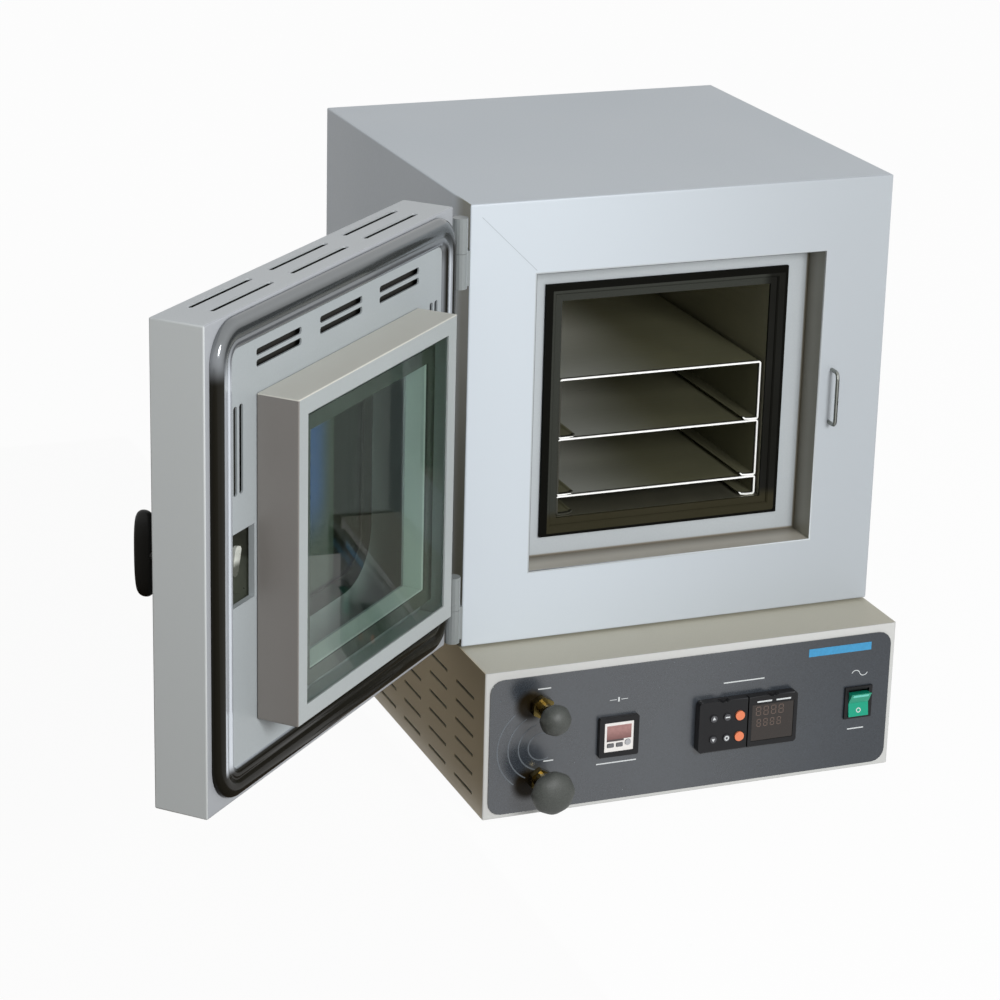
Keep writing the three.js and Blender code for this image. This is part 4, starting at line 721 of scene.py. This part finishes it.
# A painted shadow line along the top and left edges instead of the highlight.
for vert in bm.verts:
    out = vert.co - recess_middle
    if vert[fold_shading] and (out.x < near_edge - recess_size.x / 2 or out.z > recess_size.z / 2 - near_edge):
        vert[fold_shading] = shadow_fold
recess = piece("chamber_surround_flush", bm, "cabinet", finish_of["chamber_surround"])
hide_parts("chamber_surround")
print("recess edges rounded:", len(rim))

# %% [markdown]
# A black lip runs round the gasket and squares its corners off. It is thick at the left and at the top,
# where it stands for the shade that the recess casts there, and only a line at the right and below. Four
# slabs lie on the gasket's rim, a fifth of a millimetre in front of it, so that the window still shuts
# against them.

# %% The gasket's black lip, with painted shade at the left and top
def slab(bm, low, high, matrix=Matrix()):
    low, high = Vector(low), Vector(high)
    size = Matrix.Diagonal((*(high - low), 1))
    return bmesh.ops.create_cube(bm, size=1, matrix=matrix @ Matrix.Translation((low + high) / 2) @ size)


lip_and_shade_black = coat("lip_and_shade_black", (0.003, 0.003, 0.002), 0.7, 0.2, 0.3, 900.0, Specular_IOR_Level=0.05)
margin, lip_front, lip_back = 0.6 * MM, gasket_low.y - 0.2 * MM, gasket_low.y + 3 * MM
left, right = gasket_low.x - margin, gasket_high.x + margin
foot, head = gasket_low.z - margin, gasket_high.z + margin
foot_top, head_foot = foot + 2.4 * MM, head - 6 * MM
left_bar, right_bar = left + 6.5 * MM, right - 2.6 * MM
# The wide slabs at the left and top are painted shade.
lip_bm = bmesh.new()
slab(lip_bm, (left, lip_front, head_foot), (right, lip_back, head))
slab(lip_bm, (left, lip_front, foot), (right, lip_back, foot_top))
slab(lip_bm, (left, lip_front, foot_top), (left_bar, lip_back, head_foot))
slab(lip_bm, (right_bar, lip_front, foot_top), (right, lip_back, head_foot))
piece("gasket_lip_and_shade", lip_bm, "cabinet", lip_and_shade_black)
print("gasket lip in mm:", round((right - left) / MM, 1), "by", round((head - foot) / MM, 1))

# %% [markdown]
# The front sheet is joined from two pieces, and the joint shows as a hairline from the cabinet's upper
# left corner down to the recess. It is a groove filled with paint, so a sliver of darker paint stands for
# it: a thin slab, drawn along an axis, then turned and moved onto the sheet.

# %% The joint in the front sheet
joint_grey = coat("joint_grey", (0.36, 0.4, 0.43), 0.5)
joint_top, joint_foot = Vector((-14.7, -62.25, 525.8)) * MM, Vector((35.2, -62.25, 476.8)) * MM
joint_run, joint_half = joint_foot - joint_top, 0.22 * MM
joint_turn = Matrix.Rotation(math.atan2(-joint_run.z, joint_run.x), 4, "Y")
joint_bm = bmesh.new()
slab(joint_bm, (0, -0.02 * MM, -joint_half), (joint_run.length, 0.1 * MM, joint_half),
     Matrix.Translation(joint_top) @ joint_turn)
piece("front_joint", joint_bm, "cabinet", joint_grey)
print("joint length in mm:", round(joint_run.length / MM, 1))

# %% [markdown]
# The moulding round the door's inside is one polished extrusion with a round outer wall and two soft
# ridges. It is swept the way it would be bent: its section is drawn once, extruded along each straight
# side and spun round each corner, with the door shut. Every point keeps its share of the way across in an
# attribute, for the steel to read.

# %% A section swept round a frame
def swept_moulding(low, high, section, radius, corner_steps=14):
    """A closed frame round the box from low to high: section holds (inwards, rise from the back)."""
    bm = bmesh.new()
    across = bm.verts.layers.float.new("across")
    start = Vector((low.x + radius, low.y, high.z))
    verts = [bm.verts.new(start + Vector((0, rise, -inwards))) for inwards, rise in section]
    for vert, (inwards, rise) in zip(verts, section):
        vert[across] = inwards / section[-1][0]
    ends = [bm.edges.new(pair) for pair in zip(verts, verts[1:])]
    runs = [(Vector((1, 0, 0)), high.x - low.x), (Vector((0, 0, -1)), high.z - low.z),
            (Vector((-1, 0, 0)), high.x - low.x), (Vector((0, 0, 1)), high.z - low.z)]
    corner = start.copy()
    inward = Vector((0, 0, -1))
    for run, length in runs:
        made = bmesh.ops.extrude_edge_only(bm, edges=ends)["geom"]
        moved = [item for item in made if isinstance(item, bmesh.types.BMVert)]
        ends = [item for item in made if isinstance(item, bmesh.types.BMEdge)]
        bmesh.ops.translate(bm, verts=moved, vec=run * (length - 2 * radius))
        corner = corner + run * (length - 2 * radius)
        centre = corner + inward * radius
        last = bmesh.ops.spin(bm, geom=moved + ends, cent=centre, axis=(0, 1, 0), dvec=(0, 0, 0),
                              angle=math.radians(90), steps=corner_steps)["geom_last"]
        ends = [item for item in last if isinstance(item, bmesh.types.BMEdge)]
        corner = centre + run * radius
        inward = -run
    bmesh.ops.remove_doubles(bm, verts=bm.verts, dist=0.02 * MM)
    bmesh.ops.recalc_face_normals(bm, faces=bm.faces)
    for face in bm.faces:
        face.smooth = True
    return bm


print("mesh helper: swept_moulding")

# %% [markdown]
# The outer edge is the black of a rubber seal below the upper corners. Nearly the whole run at the foot is
# painted black as a dark reflection, and beside the hinges two bands of painted dark reflection leave a
# bright line between them. The run at the top is painted in grey bands of reflection, darkest across its
# crown. The same mask also takes away the metal's shine wherever it paints black.

# %% The moulding's steel, its seal and its painted reflections
moulding_shine = 0.5
moulding_steel = metal("moulding_steel", (0.62, 0.66, 0.71), 0.12, 0.06, 40.0, 40.0, 0.0,
                       shine=moulding_shine)
seal_low, seal_high = box_of("door_seal", shut_door)
tree = moulding_steel.node_tree
across = put(tree, "ShaderNodeAttribute", attribute_name="across").outputs["Fac"]
height = along(tree, upward, seal_high.z)
below_top = fade(tree, height, -8 * MM, -42 * MM)
at_top = sums(tree, "SUBTRACT", 1, below_top)
inner_ridge = fade(tree, across, 0.6, 0.8)
crown = sums(tree, "MULTIPLY", fade(tree, across, 0.1, 0.35), fade(tree, across, 0.75, 0.5))
# Painted reflections on the top run: grey bands, darker on the inner ridge and darkest on the crown.
blend_in(moulding_steel, at_top, (0.19, 0.2, 0.205))
blend_in(moulding_steel, sums(tree, "MULTIPLY", at_top, inner_ridge), (0.13, 0.135, 0.145))
blend_in(moulding_steel, sums(tree, "MULTIPLY", at_top, crown), (0.075, 0.082, 0.084))

# The outer edge is the seal; the bands by the hinges and the foot run are painted dark reflections.
outer_edge = sums(tree, "MULTIPLY", fade(tree, across, 0.36, 0.3), below_top)
at_hinge = fade(tree, along_shut(tree, toward_right), seal_low.x + 26 * MM, seal_low.x + 18 * MM)
below_corner = fade(tree, height, -10 * MM, -26 * MM)
hinge_reflections = sums(tree, "MAXIMUM", fade(tree, across, 0.47, 0.43), fade(tree, across, 0.62, 0.66))
hinge_reflections = sums(tree, "MULTIPLY", at_hinge, sums(tree, "MULTIPLY", hinge_reflections, below_corner))
at_foot = fade(tree, along(tree, upward, seal_low.z), 30 * MM, 20 * MM)
foot_reflection = sums(tree, "MULTIPLY", at_foot, fade(tree, across, 0.98, 0.92))
seal_and_reflections = sums(tree, "MAXIMUM", sums(tree, "MAXIMUM", outer_edge, hinge_reflections), foot_reflection)
blend_in(moulding_steel, seal_and_reflections, (0.013, 0.012, 0.009))
bare = sums(tree, "SUBTRACT", 1, seal_and_reflections)
shader = tree.nodes["Principled BSDF"]
tree.links.new(sums(tree, "MULTIPLY", bare, moulding_shine), shader.inputs["Metallic"])
tree.links.new(sums(tree, "MULTIPLY_ADD", bare, 0.4, 0.1), shader.inputs["Specular IOR Level"])
print("moulding steel:", moulding_steel.name)

# %% [markdown]
# The section is given as shares of the moulding's width and of its rise from the door's panel, which are
# those of the ring and the seal that it stands for.

# %% The polished moulding round the door
moulding_share = [(0, 0), (0, 0.3), (0.015, 0.5), (0.045, 0.67), (0.1, 0.82), (0.17, 0.92), (0.26, 0.985),
                  (0.35, 1), (0.44, 0.98), (0.52, 0.92), (0.58, 0.85), (0.615, 0.81), (0.64, 0.81),
                  (0.68, 0.85), (0.74, 0.88), (0.81, 0.87), (0.88, 0.79), (0.94, 0.64), (0.98, 0.42),
                  (1, 0.2), (1, 0)]
moulding_width, moulding_reach, corner_radius = 24.5 * MM, 2.2 * MM, 31 * MM
moulding_rise = seal_high.y - box_of("door_trim_ring", shut_door)[0].y
section = [(inwards * moulding_width, up * moulding_rise) for inwards, up in moulding_share]
reach = Vector((moulding_reach, 0, moulding_reach))
moulding_bm = swept_moulding(seal_low - reach, seal_high + reach, section, corner_radius)
bmesh.ops.transform(moulding_bm, matrix=open_door, verts=moulding_bm.verts)
moulding = piece("door_moulding", moulding_bm, "door", moulding_steel)
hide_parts("door_trim_ring", "door_seal")
print("moulding rise in mm:", round(moulding_rise / MM, 2))

# %% [markdown]
# Behind the door's slots lies a near-black sheet of painted shade, which stands for the dark inside the
# hollow door. Without it the light would fall through the hollow door and the slots would look grey. Each
# strip is a thin slab just behind its row of slots.

# %% Painted shade behind the slots
felt = coat("felt", (0.012, 0.011, 0.008), 0.95, 0.3, 0.6, 500.0, 0.0003)
panel_low, panel_high = box_of("door_inner_panel", shut_door)
shade_back, shade_front = panel_low.y - 4 * MM, panel_low.y - 2.4 * MM
# Near-black slabs that stand for the shade inside the door.
bm = bmesh.new()
shade_left, shade_right = shell_low.x + 18 * MM, shell_high.x - 14 * MM
slab(bm, (shade_left, shell_low.y + 5 * MM, shell_high.z - 5 * MM),
     (shade_right, panel_low.y - 6 * MM, shell_high.z - 3.2 * MM), open_door)
slab(bm, (panel_low.x + 22 * MM, shade_back, window_high.z + 6 * MM),
     (panel_high.x - 22 * MM, shade_front, panel_high.z - 12 * MM), open_door)
for low_x, high_x in ((panel_low.x + 14 * MM, window_low.x - 2 * MM),
                      (window_high.x + 2 * MM, panel_high.x - 14 * MM)):
    slab(bm, (low_x, shade_back, latch_high.z + 8 * MM),
         (high_x, shade_front, window_high.z + 2 * MM), open_door)
piece("door_slot_shade", bm, "door", felt)
print("felt under the top slots in mm:", round((shade_right - shade_left) / MM, 1))

# %% [markdown]
# The valves' knobs look almost like balls, with eight shallow lobes for the fingers. Half a section is
# drawn from the front to the socket for the stem, and spun round the stem's axis. Then each ring of
# points is pressed in between the lobes, more at the rim than near the front.

# %% Domed knobs
def domed_knob(name, lobes=8, press=0.035, steps=64):
    low, high = corners(name)
    middle = (low + high) / 2
    radius, front, back = (high.x - low.x) / 2, low.y, high.y
    dome = 11.5 * MM
    socket_radius, socket_depth = 3.6 * MM, 5.6 * MM
    outline = [(radius * math.sin(turn), front + dome * (1 - math.cos(turn)))
               for turn in (math.radians(90) * step / 12 for step in range(13))]
    outline += [(radius * 0.985, front + dome + 1.6 * MM), (radius * 0.9, back - 0.8 * MM),
                (radius * 0.8, back), (socket_radius, back), (socket_radius, back - socket_depth),
                (0, back - socket_depth)]
    bm = bmesh.new()
    verts = [bm.verts.new((middle.x + out, y, middle.z)) for out, y in outline]
    edges = [bm.edges.new(pair) for pair in zip(verts, verts[1:])]
    bmesh.ops.spin(bm, geom=verts + edges, cent=middle, axis=(0, 1, 0), dvec=(0, 0, 0),
                   angle=2 * math.pi, steps=steps, use_merge=True)
    bmesh.ops.remove_doubles(bm, verts=bm.verts, dist=0.01 * MM)
    bmesh.ops.recalc_face_normals(bm, faces=bm.faces)
    for vert in bm.verts:
        out = Vector((vert.co.x - middle.x, 0, vert.co.z - middle.z))
        share = min(out.length / radius, 1)
        if share > 0.3:
            wave = press * share ** 3 * (1 - math.cos(lobes * math.atan2(out.z, out.x))) / 2
            vert.co -= out * wave
    for face in bm.faces:
        face.smooth = True
    made = piece(name + "_domed", bm, node_body[name], finish_of[name])
    made.data.set_sharp_from_angle(angle=math.radians(50))
    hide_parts(name)
    print(made.name, "radius in mm:", round(radius / MM, 1))


domed_knob("vacuum_knob")
domed_knob("vent_knob")

# %% [markdown]
# The front panel's marks are printed: a plain blue strip, thin white lines over and under the controls, a
# wave over the mains switch, and faint arcs round the valves. Each is a print a tenth of a millimetre
# thick on the overlay. Two helpers draw them all: a bar is a slab, and an arc is one short edge spun about
# its middle.

# %% Inks, bars and arcs
overlay_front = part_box("control_overlay")[0][1]
ink = 0.12 * MM
print_white = coat("print_white", (0.62, 0.64, 0.64), 0.5, 0.1, 0.2, 1500.0)
print_blue = coat("print_blue", (0.04, 0.27, 0.5), 0.4, 0.15, 0.4, 500.0)
print_faint = coat("print_faint", (0.12, 0.135, 0.15), 0.35, 0.2, 0.4, 900.0)


def bar(bm, left, right, low, high, front=overlay_front, thick=ink):
    slab(bm, (left * MM, front - thick, low * MM), (right * MM, front, high * MM))


def arc(bm, x, z, radius, width, first, last, front=overlay_front, thick=ink, steps=32):
    """A flat band spun about (x, z), in degrees from +x towards +z."""
    turn = math.radians(first)
    out = Vector((math.cos(turn), 0, math.sin(turn)))
    middle = Vector((x * MM, front - thick, z * MM))
    ends = [bm.verts.new(middle + out * (radius + side * width / 2) * MM) for side in (-1, 1)]
    edge = bm.edges.new(ends)
    bmesh.ops.spin(bm, geom=ends + [edge], cent=middle, axis=(0, -1, 0), dvec=(0, 0, 0),
                   angle=math.radians(last - first), steps=steps)


print("ink in mm:", round(ink / MM, 2))

# %% [markdown]
# All the prints of one colour are one mesh, with places in millimetres from the model's origin, as they
# were read off the panel.

# %% Prints on the front panel
blue_bm = bmesh.new()
bar(blue_bm, 279.4, 340.8, 121.8, 129.2)
piece("blue_strip", blue_bm, "cabinet", print_blue)

lines = {"vent": (22.5, 34.5, 124.2), "vacuum": (29.4, 38.6, 56.4), "gauge": (79, 116.6, 46.2),
         "controller": (197.6, 236.9, 107.2), "switch": (321.9, 338, 46.8)}
line_height, dash_half = 1.1, 3.2
lines_bm = bmesh.new()
for left, right, z in lines.values():
    bar(lines_bm, left, right, z, z + line_height)
for x in (93, 103.5):
    bar(lines_bm, x - dash_half, x + dash_half, 105.4, 105.9)
bar(lines_bm, 97.5, 99, 103.6, 107.8)
arc(lines_bm, 327, 99.4, 4, 0.7, 20, 160)
arc(lines_bm, 334.6, 102.0, 4, 0.7, 200, 340)
bmesh.ops.recalc_face_normals(lines_bm, faces=lines_bm.faces)
piece("caption_lines", lines_bm, "cabinet", print_white)

arc_bm = bmesh.new()
for radius, first, last in ((41, 128, 232), (31, 118, 242), (21.5, 105, 255), (12.5, 60, 300)):
    arc(arc_bm, 27.5, 71, radius, 1.1, first, last, thick=0.06 * MM)
piece("panel_arcs", arc_bm, "cabinet", print_faint)
print("printed lines:", len(lines))

# %% [markdown]
# The vacuum gauge has a white face with a smoked red window for its digits and a darker band under it.
# The window is a slab with rounded edges, set a little proud of the face.

# %% The gauge's window
gauge_low, gauge_high = corners("gauge_face")
window_red = coat("window_red", (0.34, 0.17, 0.155), 0.12, 0.3, 0.5, 300.0, 0.0, Coat_Weight=0.4)
band_dark = coat("band_dark", (0.07, 0.05, 0.05), 0.3, 0.1, 0.2, 900.0)
tree = window_red.node_tree
lower_part = fade(tree, along(tree, upward, gauge_low.z), 22 * MM, 9 * MM)
blend_in(window_red, lower_part, (0.16, 0.06, 0.055))
face_margin, window_back = 2 * MM, gauge_low.y + 0.2 * MM
gauge_bm = new_bm()
slab(gauge_bm, (gauge_low.x + face_margin, gauge_low.y - 0.3 * MM, gauge_low.z + 11.4 * MM),
     (gauge_high.x - face_margin, window_back, gauge_high.z - 2.6 * MM))
round_edges(gauge_bm, list(gauge_bm.edges), 0.2 * MM, 2)
piece("gauge_window", gauge_bm, "cabinet", window_red)
band_bm = bmesh.new()
slab(band_bm, (gauge_low.x + face_margin, gauge_low.y - 0.2 * MM, gauge_low.z + 9.6 * MM),
     (gauge_low.x + 18 * MM, window_back, gauge_low.z + 11.6 * MM))
piece("gauge_band", band_bm, "cabinet", band_dark)
print("gauge face in mm:", round((gauge_high.x - gauge_low.x) / MM, 1))

# %% [markdown]
# The controller's keys carry white signs: a triangle up, a bar, a triangle down and a ring. A triangle is
# a three-sided disc. They ride on their own keys, so that they go in when a key is pressed.

# %% Signs on the keys
def disc(bm, x, z, radius, sides, front, thick=0.15 * MM, turn=0.0):
    place = (Matrix.Translation((x * MM, front - thick / 2, z * MM))
             @ Matrix.Rotation(math.radians(90), 4, "X") @ Matrix.Rotation(math.radians(turn), 4, "Z"))
    bmesh.ops.create_cone(bm, cap_ends=True, segments=sides, radius1=radius * MM, radius2=radius * MM,
                          depth=thick, matrix=place)


signs = {
    "up": lambda bm, x, z, front: disc(bm, x, z, 1.9, 3, front),
    "down": lambda bm, x, z, front: disc(bm, x, z, 1.9, 3, front, turn=180),
    "enter": lambda bm, x, z, front: bar(bm, x - 2.1, x + 2.1, z - 0.6, z + 0.6, front),
    "menu": lambda bm, x, z, front: arc(bm, x, z, 1.7, 1.1, 0, 360, front, thick=0.1 * MM),
}
for sign, draw in signs.items():
    key = "controller_key_" + sign
    low, high = corners(key)
    bm = bmesh.new()
    draw(bm, (low.x + high.x) / 2 / MM, (low.z + high.z) / 2 / MM, low.y)
    bmesh.ops.recalc_face_normals(bm, faces=bm.faces)
    piece(key + "_sign", bm, node_body[key], print_white)
print("key signs:", ", ".join(signs))

# %% [markdown]
# The display is off, and its digits show as faint segments behind the smoked window: two rows of four.
# One digit is seven short bars, and the whole display is one mesh. Two white dashes stand over it.

# %% The display's digits
display_low, display_high = (corner / MM for corner in corners("controller_display"))
display_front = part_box("controller_display")[0][1]
digit_brown = coat("digit_brown", (0.11, 0.075, 0.06), 0.35, 0.1, 0.2, 900.0)
digits_bm = bmesh.new()
stroke, digit_gap, digits_in_row = 0.75, 2.4, 4
for top, height, width, first in ((84.6, 8.6, 4.9, 226.5), (72.8, 7.4, 4.1, 227.6)):
    for place in range(digits_in_row):
        left = first + place * (width + digit_gap)
        right, bottom = left + width, top - height
        middle = (top + bottom) / 2
        for level in (top, middle + stroke / 2, bottom + stroke):
            bar(digits_bm, left + stroke, right - stroke, level - stroke, level, display_front)
        for side in (left, right - stroke):
            bar(digits_bm, side, side + stroke, middle + 0.5, top - 0.6, display_front)
            bar(digits_bm, side, side + stroke, bottom + 0.6, middle - 0.5, display_front)
piece("display_digits", digits_bm, "cabinet", digit_brown)

housing_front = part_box("controller_housing")[0][1]
dash_bm = bmesh.new()
for left, right in ((227.2, 241.4), (245.6, 259.8)):
    bar(dash_bm, left, right, 88.6, 90.0, housing_front)
piece("display_dashes", dash_bm, "cabinet", print_white)
print("display from and to, mm:", round(display_low.x, 1), round(display_high.x, 1))

# %% [markdown]
# The mains rocker is a green lens with a painted lit band at its top and a small ring near its foot. Its
# two faces slope, so the marks are laid on the slope: each is drawn flat and then turned and moved with it.

# %% Marks on the rocker
rocker_low, rocker_high = corners("power_rocker")
rocker_x, light_half = (rocker_low.x + rocker_high.x) / 2 / MM, 7.6
ridge = Vector((0, -124.8, 72.7))
top_edge, foot_edge = Vector((0, -130.9, 83.5)), Vector((0, -126.5, 60.5))


def on_slope(bm, foot, top):
    """Turns what was drawn flat at y = 0, with z = 0 at the foot, onto the slope from foot to top."""
    up = (top - foot).normalized()
    turn = Matrix.Rotation(math.atan2(-up.y, up.z), 4, "X")
    bmesh.ops.transform(bm, matrix=Matrix.Translation(foot * MM) @ turn, verts=bm.verts)


# The paler band at the top is painted light.
lens_lit_band = coat("lens_lit_band", (0.1, 0.62, 0.5), 0.25, 0.1, 0.2, 500.0, Coat_Weight=0.5)
band = bmesh.new()
bar(band, rocker_x - light_half, rocker_x + light_half, 8.2, 11.0, front=0.0)
on_slope(band, ridge, top_edge)
piece("rocker_painted_lit_band", band, "power_rocker", lens_lit_band)
ring_bm = bmesh.new()
arc(ring_bm, rocker_x, 5.6, 1.9, 0.8, 0, 360, front=0.0)
on_slope(ring_bm, foot_edge, ridge)
piece("rocker_ring", ring_bm, "power_rocker", print_white)
print("rocker's middle in mm:", round(rocker_x, 1))

# %% [markdown]
# Ten screws hold the rear panel. A screw's head is a low cone with a round recess for the driver: its cap is
# inset, and what is left of the cap is pushed in.

# %% The rear panel's screws
screw_steel = metal("screw_steel", (0.42, 0.42, 0.4), 0.25, 0.2, 200.0, 200.0)


def screw(bm, place, outward, radius=2.6 * MM, height=1.5 * MM):
    out = Vector(outward).normalized()
    turn = out.to_track_quat("Z", "Y").to_matrix().to_4x4()
    matrix = Matrix.Translation(Vector(place) + out * height / 2) @ turn
    made = bmesh.ops.create_cone(bm, cap_ends=True, segments=24, radius1=radius, radius2=radius * 0.8,
                                 depth=height, matrix=matrix)["verts"]
    cap = max({face for vert in made for face in vert.link_faces}, key=lambda face: face.normal.dot(out))
    bmesh.ops.inset_individual(bm, faces=[cap], thickness=radius * 0.38, use_even_offset=True)
    sunk = bmesh.ops.extrude_discrete_faces(bm, faces=[cap])["faces"]
    bmesh.ops.translate(bm, verts=sunk[0].verts, vec=-out * height * 0.55)


rear_low, rear_high = corners("rear_panel")
rear_bm = bmesh.new()
margin = 9 * MM
first, last = rear_low + Vector((margin, 0, margin)), rear_high - Vector((margin, 0, margin))
columns = [first.x + (last.x - first.x) * share for share in (0, 1 / 3, 2 / 3, 1)]
rows = [first.z + (last.z - first.z) * share for share in (0, 0.5, 1)]
places = [(x, z) for x in columns for z in rows
          if x in (columns[0], columns[-1]) or z in (rows[0], rows[-1])]
for x, z in places:
    screw(rear_bm, (x, rear_high.y, z), (0, 1, 0))
piece("rear_screws", rear_bm, "cabinet", screw_steel)
print("rear screws:", len(places))

# %% [markdown]
# The studio is a pale floor, a broad soft key light from the front, and a grey sky. The camera, and what
# glass and metal mirror, see the floor and the sky as white through Light Path, without more light on the
# oven.

# %% White to the eye
def white_to_the_eye(tree, plain, share):
    path = put(tree, "ShaderNodeLightPath").outputs
    seen = sums(tree, "MAXIMUM", path["Is Camera Ray"], path["Is Glossy Ray"])
    seen = sums(tree, "MAXIMUM", seen, path["Is Transmission Ray"])
    amount = sums(tree, "MULTIPLY", seen, share)
    kind = "ShaderNodeBackground" if plain.node.type == "BACKGROUND" else "ShaderNodeEmission"
    glow = put(tree, kind, {"Color": (1, 1, 1, 1), "Strength": 1})
    return put(tree, "ShaderNodeMixShader", {0: amount, 1: plain, 2: glow.outputs[0]})


print("studio helper: white_to_the_eye")

# %% [markdown]
# Besides the floor there are two cards that the camera doesn't see: a brown cloth on the floor to the left,
# which takes light from the oven's left side and gives the moulding its dark edge, and a dark upright card
# that the glass mirrors.

# %% The floor and two cards
floor_white = 0.96


def stage_plane(name, size, matrix, color, white_share):
    mesh = bpy.data.meshes.new(name)
    bm = bmesh.new()
    bmesh.ops.create_grid(bm, x_segments=1, y_segments=1, size=size, matrix=matrix)
    bm.to_mesh(mesh)
    bm.free()
    plane = bpy.data.objects.new(name, mesh)
    bpy.context.scene.collection.objects.link(plane)
    paint = bpy.data.materials.new(name + "_paint")
    paint.use_nodes = True
    tree = paint.node_tree
    shader = tree.nodes["Principled BSDF"]
    shader.inputs["Base Color"].default_value = (*color, 1)
    shader.inputs["Roughness"].default_value = 0.9
    mixed = white_to_the_eye(tree, shader.outputs[0], white_share)
    tree.links.new(mixed.outputs[0], tree.nodes["Material Output"].inputs["Surface"])
    mesh.materials.append(paint)
    return plane


def unseen_card(name, middle, reach, turn, color, lights_objects):
    """A card that the camera doesn't see: mirrors see it, and it may also colour the light nearby."""
    place = Matrix.Translation(middle) @ turn @ Matrix.Diagonal((*reach, 1, 1))
    card = stage_plane(name, 1.0, place, color, 0.0)
    card.visible_camera = False
    card.visible_transmission = False
    card.visible_shadow = False
    card.visible_diffuse = lights_objects


stage_plane("floor", 8.0, Matrix(), (0.8, 0.79, 0.77), floor_white)
upright = Matrix.Rotation(math.radians(90), 4, "Y")
unseen_card("brown_cloth", (-0.98, -0.6, 0.002), (0.94, 1.6), Matrix(), (0.07, 0.045, 0.022), True)
unseen_card("dark_card", (0.64, 0.08, 0.17), (0.17, 0.4), upright, (0.02, 0.02, 0.015), False)
print("floor's share of white:", floor_white)

# %% [markdown]
# The sky gives the soft light from all round, at less than half strength, and one round lamp in front, a
# metre across, is the key light. Together they light a colour about as it is written.

# %% The sky and the key light
world = bpy.data.worlds.new("sky")
bpy.context.scene.world = world
world.use_nodes = True
sky = world.node_tree.nodes["Background"]
sky.inputs["Color"].default_value = (0.95, 0.97, 1, 1)
sky.inputs["Strength"].default_value = 0.42
sky_mix = white_to_the_eye(world.node_tree, sky.outputs[0], 1.0)
world.node_tree.links.new(sky_mix.outputs[0], world.node_tree.nodes["World Output"].inputs["Surface"])


def lamp(name, place, aim, size, watts, color):
    data = bpy.data.lights.new(name, "AREA")
    data.shape = "DISK"
    data.size = size
    data.energy = watts
    data.color = color
    light = bpy.data.objects.new(name, data)
    bpy.context.scene.collection.objects.link(light)
    light.location = place
    light.rotation_euler = (Vector(aim) - Vector(place)).to_track_quat("-Z", "Y").to_euler()


key_place, key_aim, key_watts = (0.5, -2.85, 1.4), (0.05, 0, 0.3), 69
lamp("key", key_place, key_aim, 1.0, key_watts, (0.98, 0.99, 1))
print("key light in watts:", key_watts)
